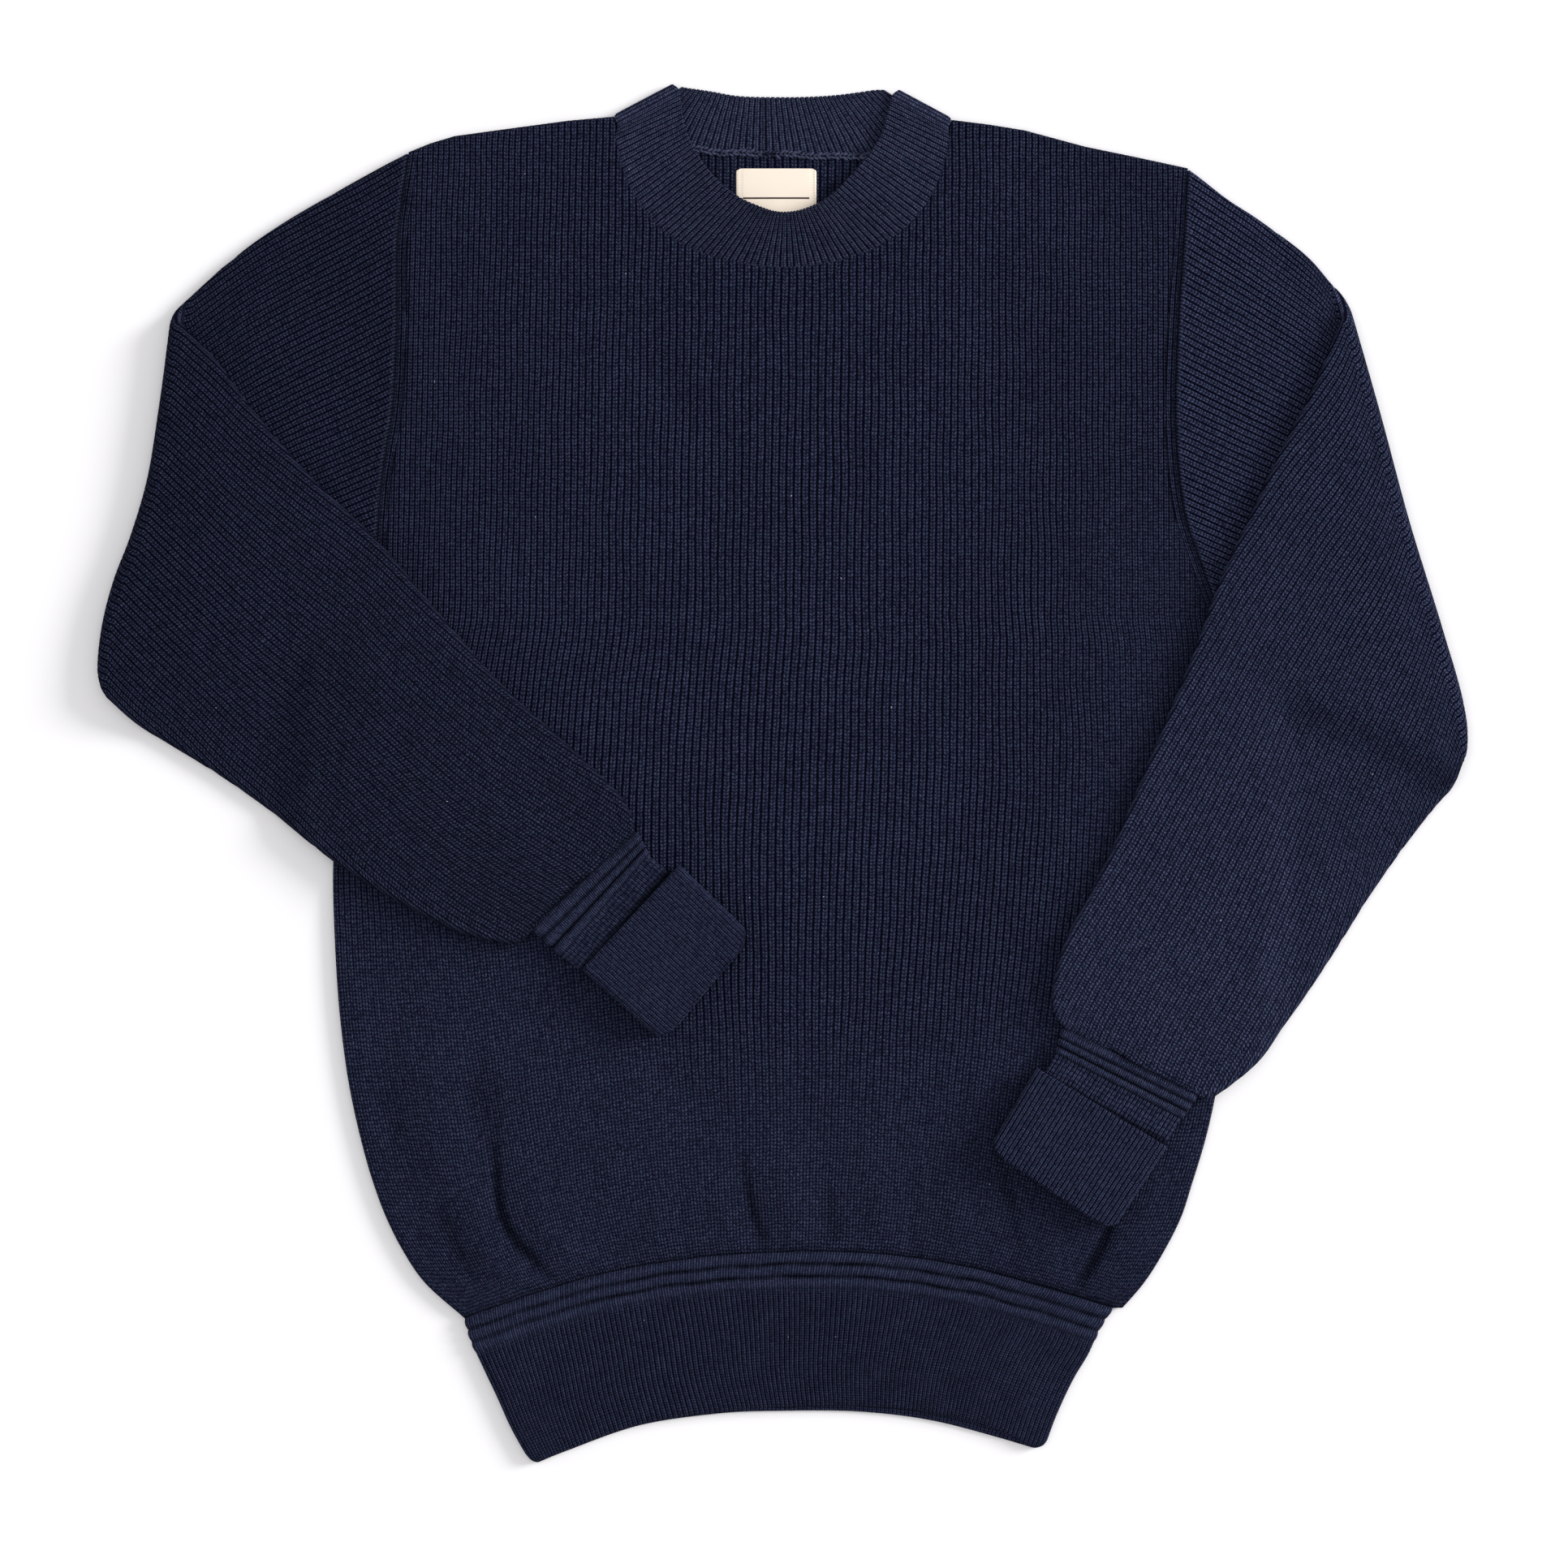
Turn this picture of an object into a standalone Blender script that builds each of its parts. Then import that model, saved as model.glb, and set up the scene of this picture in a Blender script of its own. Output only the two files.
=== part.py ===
"""A knitted crewneck sweater, laid flat with its front up and both forearms folded in over the body.

Every piece is a wall of knit: the front and back panels lie on each other, each sleeve is a flattened tube that
turns over at the elbow, each cuff is a tube turned back on itself, and the collar is a flattened ring.

Plan places are read from a chart: x to the right, y down, CHART millimetres to a square, with CHART_MID at the
garment's middle. Heights and thicknesses are in millimetres, and the meshes are built in metres with +Z up.
"""

import math

import bmesh
import bpy
import numpy as np

CHART = 0.46
CHART_MID = (964.7, 954.75)
MM = 0.001

WALL = 3.0  # body and sleeve knit
RIB_WALL = 2.6  # collar and cuff ribbing
GAP = 0.3  # between sewn pieces
LIE = 0.6  # between a piece and the one that lies on it
EASE = 0.8  # air inside a flattened sleeve
LOFT = 2.0  # how far the front stands off the back in the middle
BLOUSE = 1.3  # extra loft where the body gathers into the hem
BLOUSE_AT = 38.0
SLEEVE_PUFF = 1.2
WELT = 1.4  # height of the ridges above the ribbing
WELTS = 3
EDGE = 3.4  # radius of a folded or sewn edge
BRIDGE = 26.0  # how far a sleeve stays up past the edge of what it lies on
DRAPE = 10.0  # reach over which it then comes down
SIDE_SHARES = (0.0, 0.05, 0.11, 0.18, 0.28, 0.4, 0.52, 0.605, 0.66, 0.735, 0.81, 0.885, 0.955, 1.0)  # corners up a side seam
HEM_SHARES = (0.0, 0.11, 0.264, 0.402, 0.48, 0.558, 0.6955, 0.86, 1.0)  # and along the hem seam
COLLAR_STAND = 3.6  # how far the collar's inner edge rises in front

# One row for each level of the body: y, then the two sides. The upper rows are the armholes.
BODY_SIDES = [
    # y, left x, right x
    (187, 503, 1465.0),
    (284, 490, 1460.0),
    (406, 488, 1452.0),
    (513, 482, 1449.0),
    (567, 473, 1451.5),
    (636, 466, 1461.0),
    (705, 462, 1484.0),
    (762, 450, 1504.0),
    (850, 432, 1512.0),
    (960, 418, 1518.0),
    (1060, 410, 1520.0),
    (1160, 412, 1517.0),
    (1260, 419, 1510.0),
    (1340, 430, 1500.0),
    (1400, 443, 1487.0),
    (1460, 460, 1469.0),
    (1500, 475, 1456.0),
    (1540, 495, 1436.0),
    (1580, 522, 1411.0),
    (1625, 572, 1372.0),
]
LEFT_TIP, RIGHT_TIP = (503, 187), (1465, 207)  # shoulder tips
LEFT_PIT, RIGHT_PIT = 705, 762  # y of the armpits
LEFT_HEM, RIGHT_HEM = (572, 1625), (1372, 1612)  # ends of the hem seam
LEFT_NECK, RIGHT_NECK = (757, 143), (1172, 147)  # where the collar meets the shoulders

# One row for each column of the top edge: x, y of the shoulder or front neck, y of the shoulder or back neck.
TOP_EDGE = [
    (503, 187, 187),
    (530, 176, 176),
    (560, 167, 167),
    (611, 160, 160),
    (700, 148, 148),
    (757, 143, 143),
    (761, 180, 146),
    (769, 212, 150),
    (785, 245, 157),
    (810, 278, 167),
    (845, 302, 178),
    (890, 319, 184),
    (965, 329, 186),
    (1040, 319, 189),
    (1085, 301, 186),
    (1120, 275, 178),
    (1145, 244, 165),
    (1160, 210, 157),
    (1168, 180, 151),
    (1172, 147, 147),
    (1220, 153, 153),
    (1263, 160, 160),
    (1337, 180, 180),
    (1400, 193, 193),
    (1465, 207, 207),
]
# One row for each column of the hem: x on the seam, y there, x on the lower edge, y of the front and of the back there.
HEM_EDGE = [
    (572, 1625, 655, 1806, 1806),
    (650, 1597, 700, 1787, 1788),
    (760, 1566, 793, 1754, 1756),
    (850, 1551, 880, 1740, 1743),
    (965, 1543, 970, 1734, 1739),
    (1080, 1545, 1060, 1733, 1740),
    (1200, 1563, 1150, 1742, 1751),
    (1300, 1590, 1225, 1761, 1770),
    (1372, 1612, 1286, 1789, 1788),
]
HEM_SIDES = [
    # share of the way down, left x, left y, right x, right y
    (0.0, 572, 1625, 1372, 1612),
    (0.14, 579, 1650, 1356, 1637),
    (0.32, 593, 1682, 1342, 1668),
    (0.53, 611, 1720, 1323, 1700),
    (0.76, 630, 1762, 1302, 1745),
    (1.0, 655, 1806, 1286, 1789),
]

# One row for each section across a sleeve, from the armhole to the elbow: the outer edge, then the underarm edge.
LEFT_UPPER = [
    # outer x, outer y, under x, under y
    (503, 187, 462, 705),
    (447, 219, 390, 737),
    (378, 259, 310, 768),
    (315, 299, 240, 797),
    (264, 338, 180, 824),
    (211, 386, 122, 850),
]
RIGHT_UPPER = [
    (1465, 207, 1504, 762),
    (1517, 250, 1570, 790),
    (1559, 280, 1632, 820),
    (1598, 310, 1695, 850),
    (1633, 340, 1755, 880),
    (1662, 374, 1808, 915),
]
# How far the elbow's fold stands out from the straight line between its ends, along that line.
LEFT_FOLD = [(0.0, 0.0), (0.25, -7.0), (0.46, -9.0), (0.6, -2.0), (0.72, 8.0), (0.85, 11.0), (0.95, 6.0), (1.0, 0.0)]
RIGHT_FOLD = [(0.0, 0.0), (0.25, 2.0), (0.5, 2.0), (0.75, 7.0), (0.9, 8.0), (1.0, 2.0)]
# The same from the elbow to the cuff: the edge that goes on from the outer one, then the other.
LEFT_FOREARM = [
    # inner x, inner y, lower x, lower y
    (211, 386, 122, 850),
    (256, 432, 160, 884),
    (295, 485, 203, 911),
    (370, 573, 262, 948),
    (457, 657, 331, 997),
    (535, 748, 409, 1058),
    (618, 842, 490, 1109),
    (697, 914, 560, 1145),
    (742, 956, 604, 1158),
    (772, 990, 636, 1162),
    (784, 1018, 650, 1154),
    (785, 1025, 655, 1143),
]
RIGHT_FOREARM = [
    (1662, 374, 1808, 915),
    (1647, 407, 1798, 943),
    (1622, 465, 1782, 965),
    (1588, 530, 1762, 990),
    (1550, 612, 1737, 1024),
    (1513, 689, 1710, 1063),
    (1478, 783, 1686, 1100),
    (1442, 872, 1662, 1140),
    (1407, 955, 1636, 1182),
    (1378, 1025, 1610, 1222),
    (1342, 1098, 1582, 1262),
    (1313, 1155, 1555, 1300),
    (1299, 1200, 1530, 1324),
    (1296, 1235, 1505, 1343),
    (1302, 1258, 1484, 1354),
    (1307, 1265, 1476, 1346),
]
# Each cuff: where it is sewn on, where its ridges end, where the turned-back edge lies, and the far fold.
LEFT_CUFF = [
    # inner x, inner y, lower x, lower y
    (786, 1026, 656, 1144),
    (800, 1053, 693, 1179),
    (825, 1072, 717, 1188),
    (923, 1157, 817, 1271),
]
LEFT_TURNED = [(838, 1064, 717, 1194), (930, 1153, 820, 1286)]
RIGHT_CUFF = [
    (1307, 1267, 1475, 1348),
    (1300, 1297, 1454, 1378),
    (1285, 1315, 1434, 1405),
    (1222, 1411, 1369, 1509),
]
RIGHT_TURNED = [(1275, 1313, 1437, 1411), (1213, 1416, 1367, 1519)]

# One row for each station round the collar: its sewn edge, then its free edge. Front from left to right, then back.
COLLAR_FRONT = [
    # seam x, seam y, edge x, edge y
    (757, 143, 833, 103),
    (761, 180, 838, 135),
    (769, 212, 846, 163),
    (785, 245, 860, 190),
    (810, 278, 882, 217),
    (845, 302, 908, 238),
    (890, 319, 937, 251),
    (965, 329, 967, 258),
    (1040, 319, 1000, 250),
    (1085, 301, 1024, 237),
    (1120, 275, 1048, 216),
    (1145, 244, 1068, 193),
    (1160, 210, 1086, 165),
    (1168, 180, 1096, 137),
    (1172, 147, 1103, 110),
]
COLLAR_BACK = [
    (1172, 147, 1103, 110),
    (1145, 165, 1080, 109),
    (1120, 178, 1058, 112),
    (1085, 186, 1034, 115),
    (1040, 189, 1008, 117),
    (965, 186, 958, 118),
    (890, 184, 905, 116),
    (845, 178, 877, 111),
    (810, 167, 857, 108),
    (785, 157, 843, 106),
    (757, 143, 833, 103),
]

LABEL = (907, 207, 1006, 274)  # left, top, right and bottom on the chart
LABEL_THICK = 0.6

NAVY = (0.0116, 0.0137, 0.0307, 1.0)
RIB_NAVY = (0.0137, 0.0160, 0.0343, 1.0)
CREAM = (0.93, 0.82, 0.70, 1.0)


# ---------------------------------------------------------------- plan curves


def mx(x):
    return (np.asarray(x, float) - CHART_MID[0]) * CHART


def my(y):
    return (CHART_MID[1] - np.asarray(y, float)) * CHART


def xy(x, y):
    return np.stack([mx(x), my(y)], axis=-1)


def through(known, values, at):
    """A smooth curve through the values, with slopes taken from their neighbours."""
    known, values, at = (np.asarray(a, float) for a in (known, values, at))
    if known[0] > known[-1]:
        known, values = known[::-1], values[::-1]
    step = np.diff(known)
    rise = (np.diff(values, axis=0).T / step).T
    slope = np.empty_like(values)
    slope[0], slope[-1] = rise[0], rise[-1]
    share = step[1:] / (step[1:] + step[:-1])
    slope[1:-1] = (rise[:-1].T * share + rise[1:].T * (1 - share)).T
    at = np.clip(at, known[0], known[-1])
    i = np.clip(np.searchsorted(known, at, side="right") - 1, 0, len(step) - 1)
    h = step[i]
    t = (at - known[i]) / h
    if values.ndim > 1:
        t, h = t[..., None], h[..., None]
    a, b = values[i], values[i + 1]
    return (
        (2 * t**3 - 3 * t**2 + 1) * a
        + (t**3 - 2 * t**2 + t) * h * slope[i]
        + (3 * t**2 - 2 * t**3) * b
        + (t**3 - t**2) * h * slope[i + 1]
    )


BODY = np.array(BODY_SIDES, float)
TOP = np.array(TOP_EDGE, float)
HEM = np.array(HEM_EDGE, float)


def side_x(y, right):
    """x of the body's side at height y, both in millimetres."""
    return through(my(BODY[:, 0]), mx(BODY[:, 2 if right else 1]), y)


def shoulder_y(x):
    """y of the shoulder line at x, straight across the neck."""
    keep = (TOP[:, 0] <= LEFT_NECK[0]) | (TOP[:, 0] >= RIGHT_NECK[0])
    return np.interp(x, mx(TOP[keep, 0]), my(TOP[keep, 1]))


def hem_y(x):
    return through(mx(HEM[:, 0]), my(HEM[:, 1]), x)


def coons(u, v, bottom, top, left, right):
    """The patch between four curves: bottom and top take u, left and right take v."""
    u, v = np.broadcast_arrays(u, v)
    u1, v1 = u[..., None], v[..., None]
    zero, one = np.zeros_like(u), np.ones_like(u)
    return (
        (1 - v1) * bottom(u)
        + v1 * top(u)
        + (1 - u1) * left(v)
        + u1 * right(v)
        - (1 - u1) * (1 - v1) * bottom(zero)
        - u1 * (1 - v1) * bottom(one)
        - (1 - u1) * v1 * top(zero)
        - u1 * v1 * top(one)
    )


def body_bottom(u):
    """The hem seam, straight between its corners so that both pieces meet along it."""
    across = lambda share: mx(LEFT_HEM[0]) + share * (mx(RIGHT_HEM[0]) - mx(LEFT_HEM[0]))
    corners = across(np.array(HEM_SHARES))
    x = across(u)
    return np.stack([x, np.interp(x, corners, hem_y(corners))], axis=-1)


def body_top(u, back):
    x = mx(LEFT_TIP[0]) + u * (mx(RIGHT_TIP[0]) - mx(LEFT_TIP[0]))
    return np.stack([x, np.interp(x, mx(TOP[:, 0]), my(TOP[:, 2 if back else 1]))], axis=-1)


def body_side(v, right):
    """A side seam and its armhole, straight between corners as the hem seam is."""
    low, high = (RIGHT_HEM, RIGHT_TIP) if right else (LEFT_HEM, LEFT_TIP)
    up = lambda share: my(low[1]) + share * (my(high[1]) - my(low[1]))
    corners = up(np.array(SIDE_SHARES))
    y = up(v)
    return np.stack([np.interp(y, corners, side_x(corners, right)), y], axis=-1)


def body_plan(u, v, back):
    return coons(
        u,
        v,
        body_bottom,
        lambda a: body_top(a, back),
        lambda a: body_side(a, False),
        lambda a: body_side(a, True),
    )


def hem_plan(u, v, back):
    """u runs across, v from the seam down to the lower edge."""
    sides = np.array(HEM_SIDES, float)
    shares = (HEM[:, 0] - HEM[0, 0]) / (HEM[-1, 0] - HEM[0, 0])
    low = xy(HEM[:, 2], HEM[:, 4 if back else 3])
    return coons(
        u,
        v,
        body_bottom,
        lambda a: through(shares, low, a),
        lambda a: through(sides[:, 0], xy(sides[:, 1], sides[:, 2]), a),
        lambda a: through(sides[:, 0], xy(sides[:, 3], sides[:, 4]), a),
    )


# ---------------------------------------------------------------- heights


def ramp(distance, reach):
    return 1 - np.exp(-((np.maximum(distance, 0) / reach) ** 2))


def smooth(t):
    t = np.clip(t, 0, 1)
    return t * t * (3 - 2 * t)


def body_loft(x, y):
    """How far the front stands off the back, beyond the seam gap."""
    from_side = np.minimum(x - side_x(y, False), side_x(y, True) - x)
    from_top = shoulder_y(x) - y
    from_hem = y - hem_y(x)
    middle = LOFT * ramp(from_side, 35) * ramp(from_top, 40) * (0.45 + 0.55 * ramp(from_hem, 30))
    gather = BLOUSE * ramp(from_side, 50) * np.exp(-(((from_hem - BLOUSE_AT) / 26) ** 2))
    return middle + gather


def edge_share(inset, radius=EDGE):
    """How much of its half thickness an edge has at this distance in from it."""
    t = np.clip(inset / radius, 0, 1)
    return np.sqrt(np.maximum(0, 1 - (1 - t) ** 2))


def body_top_z(x, y):
    return 2 * WALL + GAP + body_loft(x, y)


def inside(outline, x, y):
    """Whether points lie in a closed outline."""
    found = np.zeros(np.shape(x), bool)
    for (ax, ay), (bx, by) in zip(outline, np.roll(outline, -1, axis=0)):
        crosses = (ay > y) != (by > y)
        with np.errstate(divide="ignore", invalid="ignore"):
            found ^= crosses & (x < (bx - ax) * (y - ay) / (by - ay) + ax)
    return found


FLAT = 2 * WALL + EASE  # a flattened sleeve
AXIS = FLAT + LIE / 2  # height of the line that an elbow turns about


class Sleeve:
    """One sleeve: its edges, its elbow fold and its heights."""

    def __init__(self, right):
        self.right = right
        self.upper = np.array(RIGHT_UPPER if right else LEFT_UPPER, float)
        self.fore = np.array(RIGHT_FOREARM if right else LEFT_FOREARM, float)
        self.bow = np.array(RIGHT_FOLD if right else LEFT_FOLD, float)
        ends = self.upper[-1]
        self.fold_a, self.fold_b = xy(ends[0], ends[1]), xy(ends[2], ends[3])
        along = (self.fold_b - self.fold_a) / np.linalg.norm(self.fold_b - self.fold_a)
        self.along = along
        out = np.array([along[1], -along[0]])
        towards = xy(self.upper[0, 0], self.upper[0, 1]) - self.fold_a
        self.out = -out if out @ towards > 0 else out

    @staticmethod
    def shares(table, first, second):
        """Each row's share of the way along the mean of the two edges."""
        a, b = xy(table[:, 0], table[:, 1]), xy(table[:, 2], table[:, 3])
        steps = (np.linalg.norm(np.diff(a, axis=0), axis=1) + np.linalg.norm(np.diff(b, axis=0), axis=1)) / 2
        return np.concatenate([[0], np.cumsum(steps)]) / steps.sum()

    def edge(self, table, column, u):
        known = self.shares(table, 0, 2)
        return through(known, xy(table[:, column], table[:, column + 1]), u)

    def depth_share(self):
        """The armhole's share of the body's side."""
        low, tip, pit = (RIGHT_HEM, RIGHT_TIP, RIGHT_PIT) if self.right else (LEFT_HEM, LEFT_TIP, LEFT_PIT)
        return (pit - tip[1]) / (low[1] - tip[1])

    def columns(self):
        """Shares across the sleeve at which the armhole has its corners."""
        found = (1 - np.array(SIDE_SHARES)) / self.depth_share()
        return found[(found > 0.02) & (found < 0.98)][::-1]

    def armhole(self, s):
        """Along the body's side from the shoulder tip to the armpit, a seam gap outside it."""
        place = body_side(1 - s * self.depth_share(), self.right)
        return place + np.array([GAP + 0.15 if self.right else -GAP - 0.15, 0.0])

    def fold(self, s, inset):
        """The elbow's fold, moved in from the outline."""
        s = np.asarray(s, float)
        line = self.fold_a + s[..., None] * (self.fold_b - self.fold_a)
        bow = through(self.bow[:, 0], self.bow[:, 1] * CHART, s)
        return line + (bow - inset)[..., None] * self.out

    def patch(self, u, s, table, first, last):
        u, s = np.broadcast_arrays(np.asarray(u, float), np.asarray(s, float))
        a, b = self.edge(table, 0, u), self.edge(table, 2, u)
        s1, u1 = s[..., None], u[..., None]
        place = (1 - s1) * a + s1 * b
        zero, one = np.zeros_like(s), np.ones_like(s)
        for curve, weight in ((first, 1 - u1), (last, u1)):
            if curve:
                place = place + weight * (
                    curve(s)
                    - ((1 - s1) * self.edge(table, 0, zero if curve is first else one)
                       + s1 * self.edge(table, 2, zero if curve is first else one))
                )
        return place

    def upper_plan(self, u, s):
        return self.patch(u, s, self.upper, self.armhole, lambda a: self.fold(a, AXIS))

    def fore_plan(self, u, s):
        return self.patch(u, s, self.fore, lambda a: self.fold(a, AXIS), None)

    def from_fold(self, place):
        return -((place - self.fold_a) @ self.out)

    def puff(self, place):
        return SLEEVE_PUFF * smooth((self.from_fold(place) - AXIS) / 60)

    def outline(self):
        u = np.linspace(0, 1, 24)
        s = np.linspace(0, 1, 16)
        return np.concatenate(
            [
                self.edge(self.upper, 0, u),
                self.fold(s, 0.0),
                self.edge(self.upper, 2, u[::-1]),
                self.armhole(s[::-1]),
            ]
        )


LEFT, RIGHT = Sleeve(False), Sleeve(True)

# What the forearms and cuffs lie on: the highest surface below them on a plain raster, spread and softened.
CELL = 2.0
RASTER_X = np.arange(-440, 441, CELL)
RASTER_Y = np.arange(-440, 441, CELL)


def disc_shifts(reach):
    n = int(reach / CELL)
    return [(i, j) for i in range(-n, n + 1) for j in range(-n, n + 1) if (i * i + j * j) * CELL * CELL <= reach * reach]


def shifted(field, i, j):
    return np.roll(np.roll(field, i, axis=0), j, axis=1)


def laid_on():
    x, y = np.meshgrid(RASTER_X, RASTER_Y, indexing="ij")
    place = np.stack([x, y], axis=-1)
    on_body = (x > side_x(y, False)) & (x < side_x(y, True)) & (y > hem_y(x)) & (y < shoulder_y(x))
    field = np.where(on_body, body_top_z(x, y), 0.0)
    for sleeve in (LEFT, RIGHT):
        over = inside(sleeve.outline(), x, y)
        field = np.maximum(field, np.where(over, FLAT + sleeve.puff(place), 0.0))
    high = field.copy()
    for i, j in disc_shifts(BRIDGE):
        high = np.maximum(high, shifted(field, i, j))
    soft = np.zeros_like(high)
    shifts = disc_shifts(DRAPE)
    for i, j in shifts:
        soft += shifted(high, i, j)
    return soft / len(shifts)


LAID_ON = laid_on()


def rest_z(place):
    """The lowest a piece may lie at these plan places."""
    fx = (place[..., 0] - RASTER_X[0]) / CELL
    fy = (place[..., 1] - RASTER_Y[0]) / CELL
    i = np.clip(np.floor(fx).astype(int), 0, len(RASTER_X) - 2)
    j = np.clip(np.floor(fy).astype(int), 0, len(RASTER_Y) - 2)
    tx, ty = fx - i, fy - j
    z = (
        LAID_ON[i, j] * (1 - tx) * (1 - ty)
        + LAID_ON[i + 1, j] * tx * (1 - ty)
        + LAID_ON[i, j + 1] * (1 - tx) * ty
        + LAID_ON[i + 1, j + 1] * tx * ty
    )
    return z + LIE * np.clip(z / 0.5, 0, 1)


# ---------------------------------------------------------------- solids


def material(name, colour, roughness):
    made = bpy.data.materials.new(name)
    made.use_nodes = True
    shader = made.node_tree.nodes["Principled BSDF"]
    shader.inputs["Base Color"].default_value = colour
    shader.inputs["Roughness"].default_value = roughness
    shader.inputs["Metallic"].default_value = 0.0
    return made


def add_solid(name, rings, surface, closed):
    """A solid from loops of points in millimetres: each loop joined to the next, and the last to the first or both ends
    capped by strips."""
    bm = bmesh.new()
    loops = [[bm.verts.new(tuple(float(c) * MM for c in point)) for point in ring] for ring in rings]
    count = len(loops[0])
    pairs = list(zip(loops, loops[1:])) + ([(loops[-1], loops[0])] if closed else [])
    for one, two in pairs:
        for k in range(count):
            m = (k + 1) % count
            bm.faces.new((one[k], one[m], two[m], two[k]))
    if not closed:
        for loop in (loops[0], loops[-1]):
            half = count // 2
            for k in range(half - 1):
                bm.faces.new((loop[k], loop[k + 1], loop[count - 2 - k], loop[count - 1 - k]))
    bmesh.ops.recalc_face_normals(bm, faces=bm.faces)
    if bm.calc_volume(signed=True) < 0:
        bmesh.ops.reverse_faces(bm, faces=bm.faces)
    mesh = bpy.data.meshes.new(name)
    bm.to_mesh(mesh)
    bm.free()
    mesh.shade_smooth()
    mesh.set_sharp_from_angle(angle=math.radians(50))
    mesh.materials.append(surface)
    made = bpy.data.objects.new(name, mesh)
    bpy.context.scene.collection.objects.link(made)
    return made


def panel_grid(plan, inner_u, inner_v, width, height, round_top):
    """Plan places and the distance in from the nearest rounded edge, on a grid."""
    edge = np.array([0.0, 1.1, EDGE])
    u = np.concatenate([edge / width, inner_u, 1 - edge[::-1] / width])
    v = np.concatenate([inner_v, 1 - edge[::-1] / height]) if round_top else inner_v
    uu, vv = np.meshgrid(u, v)
    inset = np.minimum(uu, 1 - uu) * width
    if round_top:
        inset = np.minimum(inset, (1 - vv) * height)
    return plan(uu, vv), uu, vv, inset


def add_panel(name, place, low, high, surface):
    rings = []
    for i in range(place.shape[0]):
        under = [(*place[i, j], low[i, j]) for j in range(place.shape[1])]
        over = [(*place[i, j], high[i, j]) for j in range(place.shape[1] - 1, -1, -1)]
        rings.append(under + over)
    return add_solid(name, rings, surface, closed=False)


def rounded(inset):
    """The share of a panel's wall that stands at this distance in from a seam."""
    return 0.35 + 0.65 * edge_share(inset)


def add_body(knit):
    width = 0.94 * float(mx(RIGHT_TIP[0]) - mx(LEFT_TIP[0]))
    height = 640.0
    neck = [0.264, 0.2685, 0.28, 0.293, 0.32, 0.355, 0.402, 0.48, 0.558, 0.605, 0.641, 0.667, 0.683, 0.6915, 0.6955]
    across = np.array([0.045, 0.11, 0.19] + neck + [0.77, 0.86, 0.94])
    up = np.array(sorted(SIDE_SHARES[:-1] + (0.025,)))
    place, _, _, inset = panel_grid(lambda u, v: body_plan(u, v, False), across, up, width, height, True)
    low = WALL + GAP + body_loft(place[..., 0], place[..., 1])
    add_panel("front", place, low, low + WALL * rounded(inset), knit)
    across = np.array([0.05, 0.11] + [f for f in neck if f not in (0.2685, 0.28, 0.6915, 0.683)] + [0.86, 0.95])
    up = np.array(SIDE_SHARES[:-1])
    place, _, _, inset = panel_grid(lambda u, v: body_plan(u, v, True), across, up, width, height, True)
    high = np.full(inset.shape, WALL)
    add_panel("back", place, high - WALL * rounded(inset), high, knit)


def welt_height(down, reach):
    """The ridges' height at this distance below the seam."""
    t = np.clip(down / reach, 0, 1)
    return WELT * np.sin(math.pi * WELTS * t) ** 2


def add_hem(rib):
    width, height = 330.0, 84.0
    welt_reach = 21.0
    across = np.array(sorted(HEM_SHARES[1:-1] + (0.045, 0.185, 0.335, 0.63, 0.78, 0.95)))
    steps = np.array([0, 1, 2, 3, 4, 5, 6]) / 6 * welt_reach / height
    for name, back in (("hem_front", False), ("hem_back", True)):
        down = np.concatenate([steps, [0.45, 0.7, 0.97, 1.0]]) if not back else np.array([0.0, 0.12, 0.3, 0.55, 0.8, 1.0])
        down = down.copy()
        down[0] = (GAP + 0.1) / height
        place, _, vv, inset = panel_grid(lambda u, v: hem_plan(u, v, back), across, down, width, height, False)
        share = rounded(inset)
        if back:
            high = np.full(inset.shape, WALL)
            add_panel(name, place, high - WALL * share, high, rib)
            continue
        seam = body_loft(place[..., 0], place[..., 1] * 0 + hem_y(place[..., 0]) + 0.01)
        low = WALL + GAP + seam * (1 - smooth(vv / 0.3)) + 0.5 * ramp(inset, 30) * smooth(vv / 0.3)
        last = np.where(vv > 0.99, 0.75, 1.0)
        high = low + WALL * share * last + welt_height(vv * height, welt_reach) * edge_share(inset, 6.0)
        add_panel(name, place, low, high, rib)


def tube_ring(places, lower, upper, insets, spans, depth):
    """One loop round a flattened tube. places, lower and upper are taken at the insets, and depth is how far in from the
    outer surface the loop runs, which moves its two ends in."""
    mid, half = (lower + upper) / 2, (upper - lower) / 2
    share = edge_share(np.minimum(insets, spans - insets) - depth, EDGE if depth == 0 else 3.0)
    lo, hi = mid - half * share, mid + half * share
    k = len(insets)
    under = [(*places[i], lo[i]) for i in range(k)]
    over = [(*places[i], hi[i]) for i in range(k - 2, 0, -1)]
    return under + over


def sleeve_insets(span, depth, columns):
    """Distances across a sleeve's section from its first edge, with close ones where the edges round over."""
    close = np.array([0.0, 1.0, EDGE]) if depth == 0 else depth + np.array([0.0, 1.0, 3.0])
    return np.concatenate([close, columns * span, span - close[::-1]])


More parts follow.
